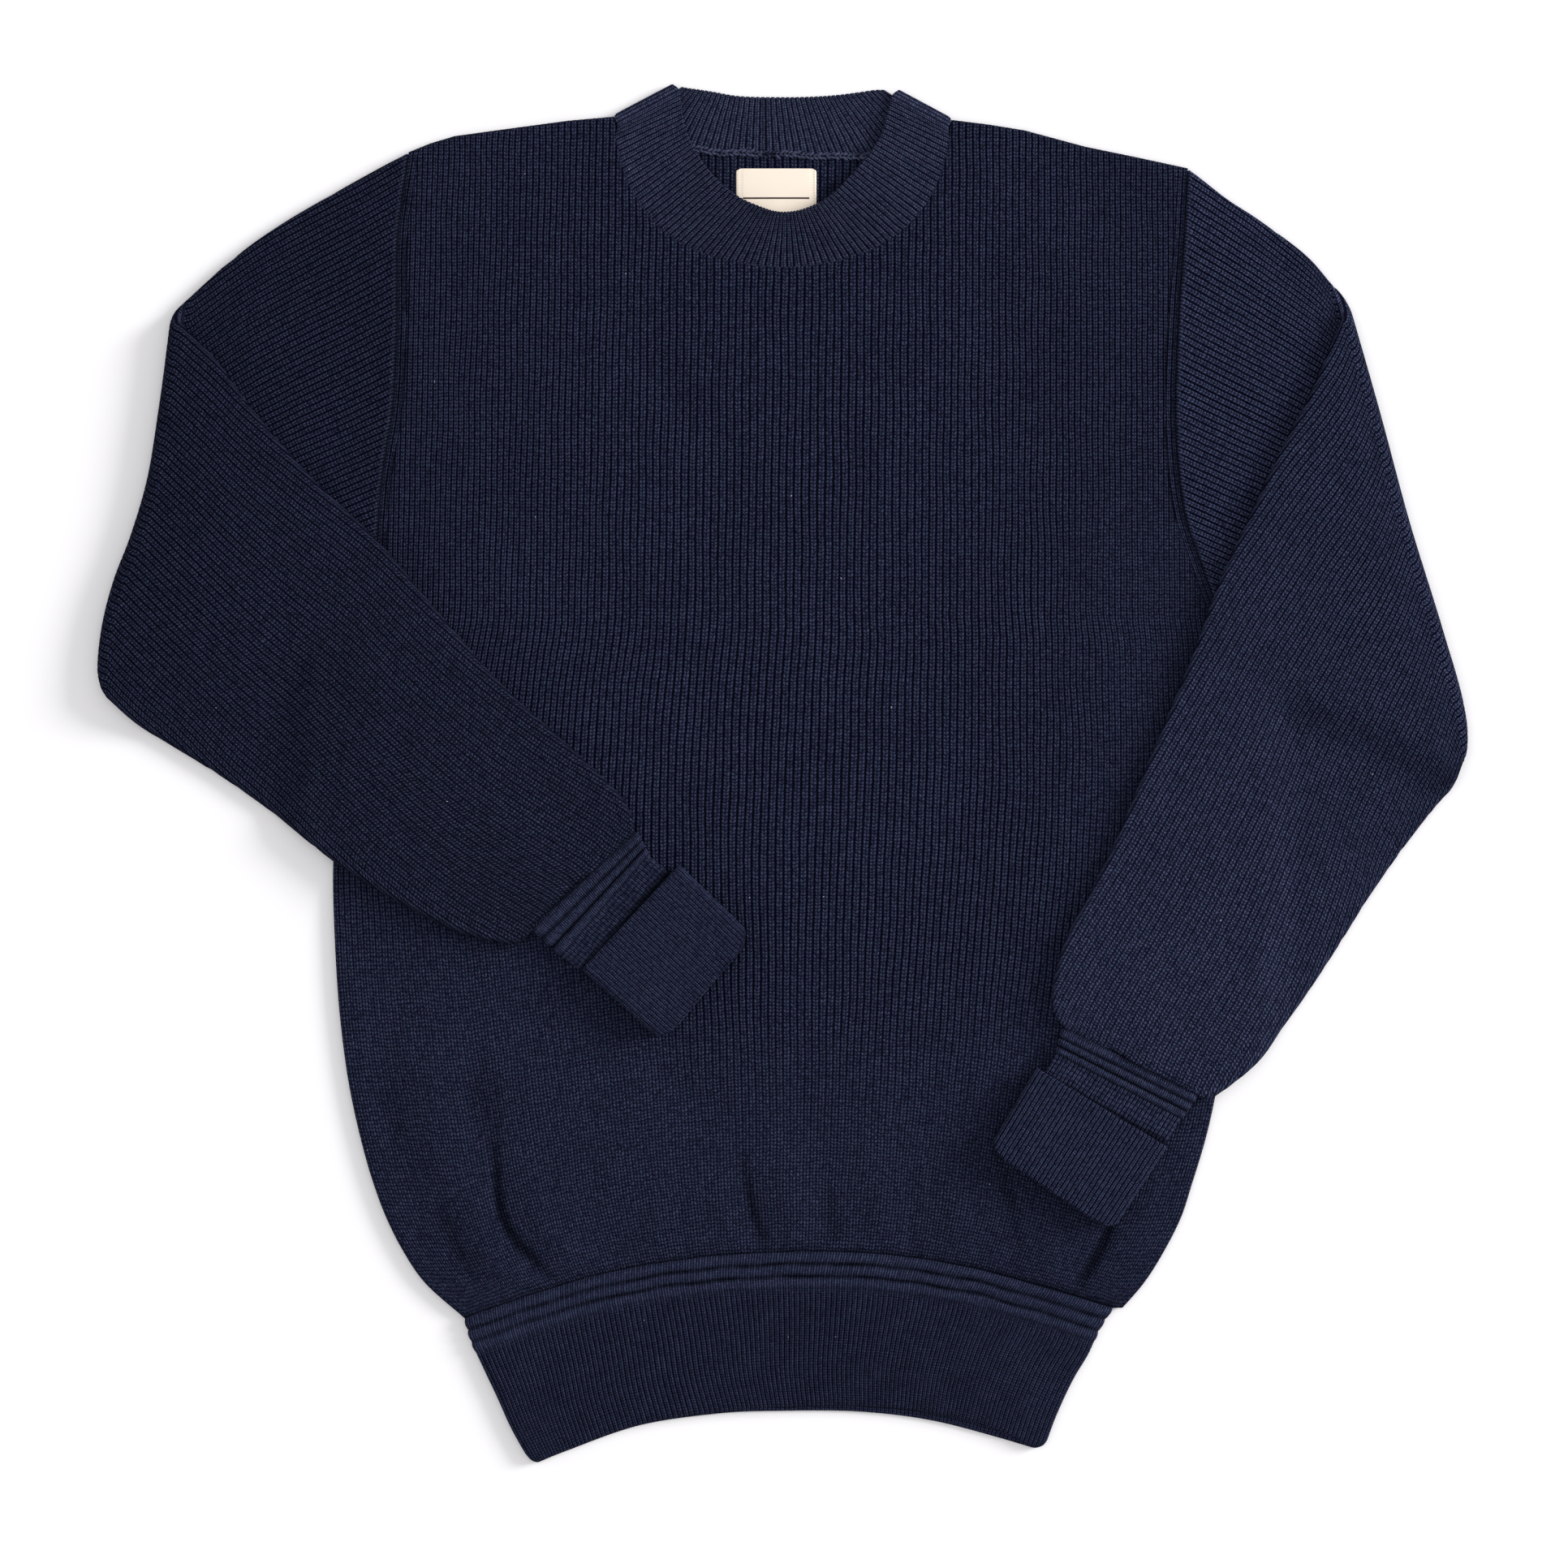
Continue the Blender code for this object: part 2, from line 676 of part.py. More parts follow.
def add_sleeve(name, sleeve, knit):
    rings = []
    columns = sleeve.columns()
    for depth in (0.0, WALL):
        part = []
        wall = depth
        # the upper sleeve, from the armhole to the elbow
        for u in (0.0, 0.1, 0.28, 0.5, 0.75):
            ends = sleeve.upper_plan(np.array([u, u]), np.array([0.0, 1.0]))
            span = float(np.linalg.norm(ends[1] - ends[0]))
            insets = sleeve_insets(span, depth, columns)
            places = sleeve.upper_plan(u, insets / span)
            top = FLAT + sleeve.puff(places) * ramp(np.minimum(insets, span - insets), 25)
            part.append(tube_ring(places, np.full(len(insets), wall), top - wall, insets, span, depth))
        # the elbow turns over its axis
        span = float(np.linalg.norm(sleeve.fold_b - sleeve.fold_a))
        insets = sleeve_insets(span, depth, columns)
        shares = insets / span
        axis = sleeve.fold(shares, AXIS)
        flat = tube_ring(axis, np.full(len(insets), wall), np.full(len(insets), FLAT - wall), insets, span, depth)
        for turn in (0, 45, 90, 135, 180):
            angle = math.radians(turn)
            ring = []
            for x, y, z in flat:
                arm = AXIS - z
                ring.append(
                    (
                        x + sleeve.out[0] * arm * math.sin(angle),
                        y + sleeve.out[1] * arm * math.sin(angle),
                        AXIS - arm * math.cos(angle),
                    )
                )
            part.append(ring)
        # the forearm lies back over what is below it, with its two layers in the other order
        for u in FORE_SHARES:
            ends = sleeve.fore_plan(np.array([u, u]), np.array([0.0, 1.0]))
            span = float(np.linalg.norm(ends[1] - ends[0]))
            insets = sleeve_insets(span, depth, columns)
            places = sleeve.fore_plan(u, insets / span)
            near = smooth(u / 0.06)
            base = (FLAT + LIE) * (1 - near) + rest_z(places) * near
            top = base + FLAT + 0.8 * near * ramp(np.minimum(insets, span - insets), 25)
            ring = tube_ring(places, top - wall, base + wall, insets, span, depth)
            part.append(ring)
        rings += part if depth == 0 else part[::-1]
    return add_solid(name, rings, knit, closed=True)


FORE_SHARES = (0.05, 0.11, 0.18, 0.26, 0.35, 0.44, 0.53, 0.62, 0.71, 0.8, 0.88, 0.95, 1.0)


def cuff_insets(span, depth):
    close = np.array([0.0, 0.9, RIB_WALL]) if depth == 0 else depth + np.array([0.0, 0.9, 2.6])
    return np.concatenate([close, np.array([0.28, 0.5, 0.72]) * span, span - close[::-1]])


def add_cuff(name, table, turned, rib):
    """A flattened tube that runs out to its far fold and comes back over itself."""
    table, turned = np.array(table, float), np.array(turned, float)
    a, b = xy(table[:, 0], table[:, 1]), xy(table[:, 2], table[:, 3])
    ta, tb = xy(turned[:, 0], turned[:, 1]), xy(turned[:, 2], turned[:, 3])
    double = 2 * RIB_WALL + GAP
    full = 2 * double + EASE
    axis = (ta[1] + tb[1] - ta[0] - tb[0]) / 2
    length = float(np.linalg.norm(axis))
    axis = axis / length
    radius = double / 2

    def ring(one, two, level, bump=0.0):
        """A loop between two plan points: level is its distance out from the innermost surface."""
        span = float(np.linalg.norm(two - one))
        insets = cuff_insets(span, 0.0)
        places = one + (insets / span)[:, None] * (two - one)
        centre = (one + two) / 2
        # the height of the tube's middle: as the sleeve's at the seam, higher where the turned-back layer is below it
        rise = smooth(float((centre - (a[1] + b[1]) / 2) @ axis) / 14)
        middle = rest_z(places) + (1 - rise) * FLAT / 2 + rise * full / 2
        half = EASE / 2 + level
        mid_share = edge_share(np.minimum(insets, span - insets), min(EDGE, half + 0.6))
        lo, hi = middle - half * mid_share, middle + (half + bump) * mid_share
        k = len(insets)
        return [(*places[i], lo[i]) for i in range(k)] + [(*places[i], hi[i]) for i in range(k - 2, 0, -1)]

    def widened(one, two, by):
        way = (two - one) / np.linalg.norm(two - one)
        return one - way * by, two + way * by

    far_in = widened(a[3], b[3], -RIB_WALL - 0.5)
    out_a, out_b = ta, tb
    back_off = axis * radius
    rings = []
    # innermost surface, from the seam out to the far fold
    for i in (0, 1, 2):
        rings.append(ring(*widened(a[i], b[i], -RIB_WALL - 0.5), 0.0))
    rings.append(ring(far_in[0] - back_off, far_in[1] - back_off, 0.0))
    # the far fold
    for turn in (50, 90, 130):
        angle = math.radians(turn)
        share = (1 - math.cos(angle)) / 2
        one = far_in[0] * (1 - share) + out_a[1] * share
        two = far_in[1] * (1 - share) + out_b[1] * share
        level = radius * (1 - math.cos(angle))
        off = axis * radius * (1 - math.sin(angle))
        rings.append(ring(one - off, two - off, level))
    # the turned-back layer's face, its free edge and its inside
    rings.append(ring(out_a[1] - back_off, out_b[1] - back_off, double))
    rings.append(ring((out_a[0] + out_a[1]) / 2, (out_b[0] + out_b[1]) / 2, double))
    rings.append(ring(out_a[0] + axis * 0.8, out_b[0] + axis * 0.8, double))
    rings.append(ring(*widened(out_a[0], out_b[0], -1.0), double - 1.0))
    rings.append(ring(*widened(out_a[0], out_b[0], -RIB_WALL - 0.2), RIB_WALL + GAP))
    tight = widened(a[3], b[3], 0.55)
    rings.append(ring(tight[0] - axis * (radius + 0.6), tight[1] - axis * (radius + 0.6), RIB_WALL + GAP))
    # the inner layer's outside, back to the seam
    rings.append(ring(a[3] - axis * (radius + 1.2), b[3] - axis * (radius + 1.2), RIB_WALL))
    rings.append(ring(a[2], b[2], RIB_WALL))
    for t in np.linspace(1, 0, 2 * WELTS + 1):
        bump = 0.8 * WELT * math.sin(math.pi * WELTS * t) ** 2
        one, two = a[0] + t * (a[1] - a[0]), b[0] + t * (b[1] - b[0])
        rings.append(ring(*widened(one, two, bump * 0.6), RIB_WALL, bump))
    return add_solid(name, rings, rib, closed=True)


def add_collar(rib):
    """A ring of ribbing whose front half lies over its back half, turned at both sides."""
    half = RIB_WALL / 2
    radius = 1.9  # of the turn at each side, at the wall's middle
    low, turn_z = half, half + radius
    profile = [(0.0, -1), (0.5, -1), (1.0, -0.75), (1.0, 0.75), (0.5, 1), (0.0, 1)]
    stations = []

    def station(seam, edge, seam_z, edge_z, normal, lead=0.0):
        loop = []
        way = edge - seam
        way = way / np.linalg.norm(way)
        seam = seam + way * (GAP + 0.25 + lead)
        for share, side in profile:
            place = seam + share * (edge - seam)
            z = seam_z + share * (edge_z - seam_z)
            loop.append(
                (
                    place[0] + normal[0] * side * half,
                    place[1] + normal[1] * side * half,
                    z + normal[2] * side * half,
                )
            )
        return loop

    def side_turn(row, other, up):
        """The stations that turn about a side: up runs from the back layer to the front one."""
        seam, edge = xy(row[0], row[1]), xy(row[2], row[3])
        way = (edge - seam) / np.linalg.norm(edge - seam)
        out = np.array([way[1], -way[0]])
        if out @ (xy(other[2], other[3]) - seam) > 0:
            out = -out
        found = []
        for turn in (-90, -45, 0, 45, 90):
            turn = turn if up else -turn
            angle = math.radians(turn)
            off = out * (radius * math.cos(angle) - radius - half)
            z = turn_z + radius * math.sin(angle)
            normal = (out[0] * math.cos(angle), out[1] * math.cos(angle), math.sin(angle))
            lead = float(np.interp(turn, (-90, -45, 0, 45), (3.4, 3.2, 1.6, 0.0)))  # clear of the back panel's corner
            found.append(station(seam + off, edge + off, z, z, normal, lead))
        return found

    front, back = np.array(COLLAR_FRONT, float), np.array(COLLAR_BACK, float)
    top_z = turn_z + radius
    stations += side_turn(front[0], front[7], True)
    for k in range(1, len(front) - 1):
        seam, edge = xy(front[k, 0], front[k, 1]), xy(front[k, 2], front[k, 3])
        share = smooth(min(k, len(front) - 1 - k) / 6)
        panel = WALL + GAP + float(body_loft(seam[0], seam[1])) + WALL / 2
        seam_z = max(panel, top_z)
        edge_z = seam_z + COLLAR_STAND * share
        stations.append(station(seam, edge, seam_z, edge_z, (0.0, 0.0, 1.0)))
    stations += side_turn(front[-1], front[7], False)
    for k in range(1, len(back) - 1):
        seam, edge = xy(back[k, 0], back[k, 1]), xy(back[k, 2], back[k, 3])
        stations.append(station(seam, edge, low, low, (0.0, 0.0, -1.0)))
    return add_solid("collar", stations, rib, closed=True)


def add_label(cloth):
    left, top, right, bottom = LABEL
    (x0, y1), (x1, y0) = xy(left, top), xy(right, bottom)
    z0 = WALL + GAP
    rings = [
        [(x0, y, z0), (x1, y, z0), (x1, y, z0 + LABEL_THICK), (x0, y, z0 + LABEL_THICK)]
        for y in (y0, y1)
    ]
    return add_solid("label", rings, cloth, closed=False)


def main():
    for leftover in list(bpy.data.objects):
        bpy.data.objects.remove(leftover, do_unlink=True)
    knit = material("navy_knit", NAVY, 0.9)
    rib = material("navy_ribbing", RIB_NAVY, 0.88)
    cloth = material("label_cloth", CREAM, 0.7)
    add_body(knit)
    add_hem(rib)
    add_sleeve("sleeve_right", LEFT, knit)
    add_sleeve("sleeve_left", RIGHT, knit)
    add_cuff("cuff_right", LEFT_CUFF, LEFT_TURNED, rib)
    add_cuff("cuff_left", RIGHT_CUFF, RIGHT_TURNED, rib)
    add_collar(rib)
    add_label(cloth)


main()
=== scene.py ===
"""The looks of a knitted crewneck sweater that lies flat, front up, with both forearms folded in over the body.

Every piece is a thin shell of knit with its real ribs as geometry. The stitches inside a rib are drawn by the
materials, which count ribs and courses along the piece. Plan places are read from the same chart as the solids:
x to the right, y down, CHART millimetres to a square, with CHART_MID at the garment's middle. Heights are in
millimetres, and the meshes are in metres with +Z up.
"""

import math

import bpy
import numpy as np
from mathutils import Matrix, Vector


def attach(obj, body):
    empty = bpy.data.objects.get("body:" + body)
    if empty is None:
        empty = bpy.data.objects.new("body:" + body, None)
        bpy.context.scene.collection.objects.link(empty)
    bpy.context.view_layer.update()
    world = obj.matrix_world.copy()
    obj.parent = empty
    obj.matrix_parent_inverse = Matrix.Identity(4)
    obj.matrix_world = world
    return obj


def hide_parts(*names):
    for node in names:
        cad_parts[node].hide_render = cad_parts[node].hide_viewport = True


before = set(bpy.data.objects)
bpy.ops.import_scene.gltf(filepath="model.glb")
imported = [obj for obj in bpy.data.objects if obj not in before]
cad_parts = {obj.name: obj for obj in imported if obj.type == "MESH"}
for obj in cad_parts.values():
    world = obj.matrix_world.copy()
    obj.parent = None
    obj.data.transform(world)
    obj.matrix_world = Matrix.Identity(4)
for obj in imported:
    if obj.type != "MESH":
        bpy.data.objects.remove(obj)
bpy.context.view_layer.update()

CHART = 0.46
CHART_MID = (964.7, 954.75)
MM = 0.001

WALL = 3.0
RIB_WALL = 2.6
GAP = 0.3
LIE = 0.6
EASE = 0.8
LOFT = 2.0
BLOUSE = 1.3
BLOUSE_AT = 38.0
SLEEVE_PUFF = 1.2
WELT = 2.6
WELTS = 3
EDGE = 3.4
BRIDGE = 26.0
DRAPE = 10.0
COLLAR_STAND = 3.6

COURSE = 1.96  # height of a row of stitches in the body and sleeves
FINE_COURSE = 1.35  # and in the ribbing
BODY_RIBS = 134  # ribs across a panel
SLEEVE_RIBS = 59  # ribs across one side of a sleeve
HEM_RIBS = 125
CUFF_RIBS = 33
RIB_PITCH = 4.05  # of the sleeves
RIB_DEPTH = 1.1
FINE_DEPTH = 0.8

BODY_SIDES = [
    # y, left x, right x
    (187, 503, 1465.0),
    (284, 490, 1460.0),
    (406, 488, 1452.0),
    (513, 482, 1449.0),
    (567, 473, 1451.5),
    (636, 466, 1461.0),
    (705, 462, 1484.0),
    (762, 450, 1504.0),
    (850, 432, 1512.0),
    (960, 418, 1518.0),
    (1060, 410, 1520.0),
    (1160, 412, 1517.0),
    (1260, 419, 1510.0),
    (1340, 430, 1500.0),
    (1400, 443, 1487.0),
    (1460, 460, 1469.0),
    (1500, 475, 1456.0),
    (1540, 495, 1436.0),
    (1580, 522, 1411.0),
    (1625, 572, 1372.0),
]
LEFT_TIP, RIGHT_TIP = (503, 187), (1465, 207)
LEFT_PIT, RIGHT_PIT = 705, 762
LEFT_HEM, RIGHT_HEM = (572, 1625), (1372, 1612)
LEFT_NECK, RIGHT_NECK = (757, 143), (1172, 147)

TOP_EDGE = [
    # x, y of the shoulder or front neck, y of the shoulder or back neck
    (503, 187, 187),
    (530, 176, 176),
    (560, 167, 167),
    (611, 160, 160),
    (700, 148, 148),
    (757, 143, 143),
    (761, 180, 146),
    (769, 212, 150),
    (785, 245, 157),
    (810, 278, 167),
    (845, 302, 178),
    (890, 319, 184),
    (965, 329, 186),
    (1040, 319, 189),
    (1085, 301, 186),
    (1120, 275, 178),
    (1145, 244, 165),
    (1160, 210, 157),
    (1168, 180, 151),
    (1172, 147, 147),
    (1220, 153, 153),
    (1263, 160, 160),
    (1337, 180, 180),
    (1400, 193, 193),
    (1465, 207, 207),
]
HEM_EDGE = [
    # x on the seam, y there, x on the lower edge, y of the front and of the back there
    (572, 1625, 655, 1806, 1806),
    (650, 1597, 700, 1787, 1788),
    (760, 1566, 793, 1754, 1756),
    (850, 1551, 880, 1740, 1743),
    (965, 1543, 970, 1734, 1739),
    (1080, 1545, 1060, 1733, 1740),
    (1200, 1563, 1150, 1742, 1751),
    (1300, 1590, 1225, 1761, 1770),
    (1372, 1612, 1286, 1789, 1788),
]
HEM_SIDES = [
    # share of the way down, left x, left y, right x, right y
    (0.0, 572, 1625, 1372, 1612),
    (0.14, 579, 1650, 1356, 1637),
    (0.32, 593, 1682, 1342, 1668),
    (0.53, 611, 1720, 1323, 1700),
    (0.76, 630, 1762, 1302, 1745),
    (1.0, 655, 1806, 1286, 1789),
]
LEFT_UPPER = [
    # outer x, outer y, under x, under y
    (503, 187, 462, 705),
    (447, 219, 390, 737),
    (378, 259, 310, 768),
    (315, 299, 240, 797),
    (264, 338, 180, 824),
    (211, 386, 122, 850),
]
RIGHT_UPPER = [
    (1465, 207, 1504, 762),
    (1517, 250, 1570, 790),
    (1559, 280, 1632, 820),
    (1598, 310, 1695, 850),
    (1633, 340, 1755, 880),
    (1662, 374, 1808, 915),
]
LEFT_FOLD = [(0.0, 0.0), (0.25, -7.0), (0.46, -9.0), (0.6, -2.0), (0.72, 8.0), (0.85, 11.0), (0.95, 6.0), (1.0, 0.0)]
RIGHT_FOLD = [(0.0, 0.0), (0.25, 2.0), (0.5, 2.0), (0.75, 7.0), (0.9, 8.0), (1.0, 2.0)]
LEFT_CORNERS, RIGHT_CORNERS = (9.0, 13.0), (10.0, 17.0)  # how far the fold's two ends are rounded
LEFT_FOREARM = [
    # inner x, inner y, lower x, lower y
    (211, 386, 122, 850),
    (256, 432, 160, 884),
    (295, 485, 203, 911),
    (370, 573, 262, 948),
    (457, 657, 331, 997),
    (535, 748, 409, 1058),
    (618, 842, 490, 1109),
    (697, 914, 560, 1145),
    (742, 956, 604, 1158),
    (772, 990, 636, 1162),
    (784, 1018, 650, 1154),
    (785, 1025, 655, 1143),
]
RIGHT_FOREARM = [
    (1662, 374, 1808, 915),
    (1647, 407, 1798, 943),
    (1622, 465, 1782, 965),
    (1588, 530, 1762, 990),
    (1550, 612, 1737, 1024),
    (1513, 689, 1710, 1063),
    (1478, 783, 1686, 1100),
    (1442, 872, 1662, 1140),
    (1407, 955, 1636, 1182),
    (1378, 1025, 1610, 1222),
    (1342, 1098, 1582, 1262),
    (1313, 1155, 1555, 1300),
    (1299, 1200, 1530, 1324),
    (1296, 1235, 1505, 1343),
    (1302, 1258, 1484, 1354),
    (1307, 1265, 1476, 1346),
]
LEFT_CUFF = [
    # inner x, inner y, lower x, lower y: sewn edge, end of the ridges, turned-back edge, far fold
    (786, 1026, 656, 1144),
    (800, 1053, 693, 1179),
    (825, 1072, 717, 1188),
    (923, 1157, 817, 1271),
]
LEFT_TURNED = [(838, 1064, 717, 1194), (930, 1153, 820, 1286)]
RIGHT_CUFF = [
    (1307, 1267, 1475, 1348),
    (1300, 1297, 1454, 1378),
    (1285, 1315, 1434, 1405),
    (1222, 1411, 1369, 1509),
]
RIGHT_TURNED = [(1275, 1313, 1437, 1411), (1213, 1416, 1367, 1519)]
COLLAR_FRONT = [
    # seam x, seam y, edge x, edge y
    (757, 143, 833, 103),
    (761, 180, 838, 135),
    (769, 212, 846, 163),
    (785, 245, 860, 190),
    (810, 278, 881, 219),
    (845, 302, 907, 241),
    (890, 319, 936, 255),
    (965, 329, 967, 262),
    (1040, 319, 1001, 254),
    (1085, 301, 1025, 240),
    (1120, 275, 1048, 216),
    (1145, 244, 1068, 193),
    (1160, 210, 1086, 165),
    (1168, 180, 1096, 137),
    (1172, 147, 1103, 110),
]
COLLAR_BACK = [
    (1172, 147, 1103, 110),
    (1145, 165, 1080, 109),
    (1120, 178, 1058, 112),
    (1085, 186, 1034, 115),
    (1040, 189, 1008, 117),
    (965, 186, 958, 118),
    (890, 184, 905, 116),
    (845, 178, 877, 111),
    (810, 167, 857, 108),
    (785, 157, 843, 106),
    (757, 143, 833, 103),
]
LABEL = (907, 207, 1006, 274)

# Folds of the front: three places on the chart, half the width of the fold and its height, less than nothing for a
# trough, both in millimetres.
FRONT_FOLDS = [
    # x, y, x, y, x, y, half width, height
    (608, 1412, 622, 1508, 682, 1578, 3.5, -3.4),
    (640, 1420, 668, 1505, 722, 1570, 8.0, 1.8),
    (575, 1460, 600, 1540, 650, 1600, 7.0, 1.4),
    (540, 1470, 560, 1530, 592, 1585, 5.0, -1.6),
    (470, 1290, 492, 1400, 545, 1520, 9.0, -1.3),
    (520, 1250, 535, 1370, 575, 1470, 12.0, 1.4),
    (590, 1270, 596, 1350, 612, 1430, 9.0, -1.1),
    (914, 1420, 926, 1490, 946, 1548, 3.6, -2.2),
    (884, 1450, 892, 1500, 905, 1552, 8.0, 1.1),
    (962, 1420, 974, 1490, 984, 1548, 8.0, 1.4),
    (1014, 1440, 1022, 1500, 1026, 1548, 6.0, -1.1),
    (1066, 1400, 1078, 1480, 1086, 1548, 9.0, 1.1),
    (1116, 1430, 1122, 1490, 1126, 1552, 5.0, -1.0),
    (1164, 1420, 1178, 1490, 1188, 1562, 8.0, 1.3),
    (1232, 1420, 1246, 1490, 1256, 1575, 4.6, -1.9),
    (1290, 1490, 1292, 1530, 1290, 1580, 8.0, 1.3),
    (1374, 1490, 1354, 1540, 1326, 1588, 3.5, -3.4),
    (1420, 1440, 1402, 1520, 1370, 1590, 9.0, 1.3),
    (760, 1440, 790, 1500, 812, 1560, 12.0, 1.0),
    (830, 1460, 838, 1505, 850, 1552, 6.0, -1.0),
    (488, 214, 493, 240, 498, 262, 4.5, -2.6),
    (1185, 190, 1206, 240, 1190, 330, 12.0, 1.0),
    (1240, 200, 1252, 260, 1240, 350, 8.0, -0.8),
    (790, 400, 820, 470, 880, 560, 20.0, -0.8),
]
HEM_FOLDS = [
    (1150, 1690, 1166, 1712, 1180, 1736, 5.0, -1.1),
    (1120, 1690, 1134, 1712, 1150, 1736, 7.0, 0.5),
    (690, 1690, 720, 1720, 735, 1760, 10.0, 0.6),
    (800, 1640, 812, 1690, 820, 1740, 8.0, -0.5),
]
LEFT_SLEEVE_FOLDS = [
    (330, 600, 350, 760, 300, 900, 14.0, -1.0),
    (430, 700, 400, 800, 385, 900, 12.0, -1.1),
    (470, 760, 455, 860, 440, 960, 13.0, 0.9),
    (250, 560, 255, 700, 215, 830, 14.0, 0.9),
    (560, 960, 640, 1040, 690, 1110, 9.0, 0.7),
    (600, 930, 690, 1000, 735, 1060, 7.0, -0.6),
]
RIGHT_SLEEVE_FOLDS = [
    (1600, 560, 1640, 700, 1650, 830, 16.0, 0.8),
    (1540, 840, 1580, 900, 1640, 930, 14.0, -0.45),
    (1500, 900, 1470, 1010, 1400, 1130, 14.0, 0.9),
    (1560, 960, 1540, 1080, 1480, 1200, 12.0, -0.7),
    (1420, 1180, 1400, 1230, 1390, 1290, 8.0, 0.7),
    (1360, 1180, 1355, 1230, 1355, 1280, 6.0, -0.7),
    (1470, 1230, 1440, 1280, 1425, 1320, 6.0, -0.6),
]


# ---------------------------------------------------------------- plan curves


def mx(x):
    return (np.asarray(x, float) - CHART_MID[0]) * CHART


def my(y):
    return (CHART_MID[1] - np.asarray(y, float)) * CHART


def xy(x, y):
    return np.stack([mx(x), my(y)], axis=-1)


def through(known, values, at):
    """A smooth curve through the values, with slopes taken from their neighbours."""
    known, values, at = (np.asarray(a, float) for a in (known, values, at))
    if known[0] > known[-1]:
        known, values = known[::-1], values[::-1]
    step = np.diff(known)
    rise = (np.diff(values, axis=0).T / step).T
    slope = np.empty_like(values)
    slope[0], slope[-1] = rise[0], rise[-1]
    share = step[1:] / (step[1:] + step[:-1])
    slope[1:-1] = (rise[:-1].T * share + rise[1:].T * (1 - share)).T
    at = np.clip(at, known[0], known[-1])
    i = np.clip(np.searchsorted(known, at, side="right") - 1, 0, len(step) - 1)
    h = step[i]
    t = (at - known[i]) / h
    if values.ndim > 1:
        t, h = t[..., None], h[..., None]
    a, b = values[i], values[i + 1]
    return (
        (2 * t**3 - 3 * t**2 + 1) * a
        + (t**3 - 2 * t**2 + t) * h * slope[i]
        + (3 * t**2 - 2 * t**3) * b
        + (t**3 - t**2) * h * slope[i + 1]
    )


BODY = np.array(BODY_SIDES, float)
TOP = np.array(TOP_EDGE, float)
HEM = np.array(HEM_EDGE, float)


def side_x(y, right):
    return through(my(BODY[:, 0]), mx(BODY[:, 2 if right else 1]), y)


def shoulder_y(x):
    keep = (TOP[:, 0] <= LEFT_NECK[0]) | (TOP[:, 0] >= RIGHT_NECK[0])
    return np.interp(x, mx(TOP[keep, 0]), my(TOP[keep, 1]))


def hem_y(x):
    return through(mx(HEM[:, 0]), my(HEM[:, 1]), x)


def coons(u, v, bottom, top, left, right):
    """The patch between four curves: bottom and top take u, left and right take v."""
    u, v = np.broadcast_arrays(u, v)
    u1, v1 = u[..., None], v[..., None]
    zero, one = np.zeros_like(u), np.ones_like(u)
    return (
        (1 - v1) * bottom(u)
        + v1 * top(u)
        + (1 - u1) * left(v)
        + u1 * right(v)
        - (1 - u1) * (1 - v1) * bottom(zero)
        - u1 * (1 - v1) * bottom(one)
        - (1 - u1) * v1 * top(zero)
        - u1 * v1 * top(one)
    )


def body_bottom(u):
    x = mx(LEFT_HEM[0]) + u * (mx(RIGHT_HEM[0]) - mx(LEFT_HEM[0]))
    return np.stack([x, hem_y(x)], axis=-1)


def body_top(u, back):
    x = mx(LEFT_TIP[0]) + u * (mx(RIGHT_TIP[0]) - mx(LEFT_TIP[0]))
    return np.stack([x, np.interp(x, mx(TOP[:, 0]), my(TOP[:, 2 if back else 1]))], axis=-1)


def body_side(v, right):
    low, high = (RIGHT_HEM, RIGHT_TIP) if right else (LEFT_HEM, LEFT_TIP)
    y = my(low[1]) + v * (my(high[1]) - my(low[1]))
    return np.stack([side_x(y, right), y], axis=-1)


def body_plan(u, v, back):
    return coons(
        u,
        v,
        body_bottom,
        lambda a: body_top(a, back),
        lambda a: body_side(a, False),
        lambda a: body_side(a, True),
    )


def hem_plan(u, v, back):
    sides = np.array(HEM_SIDES, float)
    shares = (HEM[:, 0] - HEM[0, 0]) / (HEM[-1, 0] - HEM[0, 0])
    low = xy(HEM[:, 2], HEM[:, 4 if back else 3])
    return coons(
        u,
        v,
        body_bottom,
        lambda a: through(shares, low, a),
        lambda a: through(sides[:, 0], xy(sides[:, 1], sides[:, 2]), a),
        lambda a: through(sides[:, 0], xy(sides[:, 3], sides[:, 4]), a),
    )


# ---------------------------------------------------------------- heights


def ramp(distance, reach):
    return 1 - np.exp(-((np.maximum(distance, 0) / reach) ** 2))


def smooth(t):
    t = np.clip(t, 0, 1)
    return t * t * (3 - 2 * t)


def body_loft(x, y):
    from_side = np.minimum(x - side_x(y, False), side_x(y, True) - x)
    from_top = shoulder_y(x) - y
    from_hem = y - hem_y(x)
    middle = LOFT * ramp(from_side, 35) * ramp(from_top, 40) * (0.45 + 0.55 * ramp(from_hem, 30))
    gather = BLOUSE * ramp(from_side, 50) * np.exp(-(((from_hem - BLOUSE_AT) / 26) ** 2))
    return middle + gather


def edge_share(inset, radius=EDGE):
    t = np.clip(inset / radius, 0, 1)
    return np.sqrt(np.maximum(0, 1 - (1 - t) ** 2))


def rounded(inset, radius=EDGE):
    return 0.35 + 0.65 * edge_share(inset, radius)


def body_top_z(x, y):
    return 2 * WALL + GAP + body_loft(x, y)


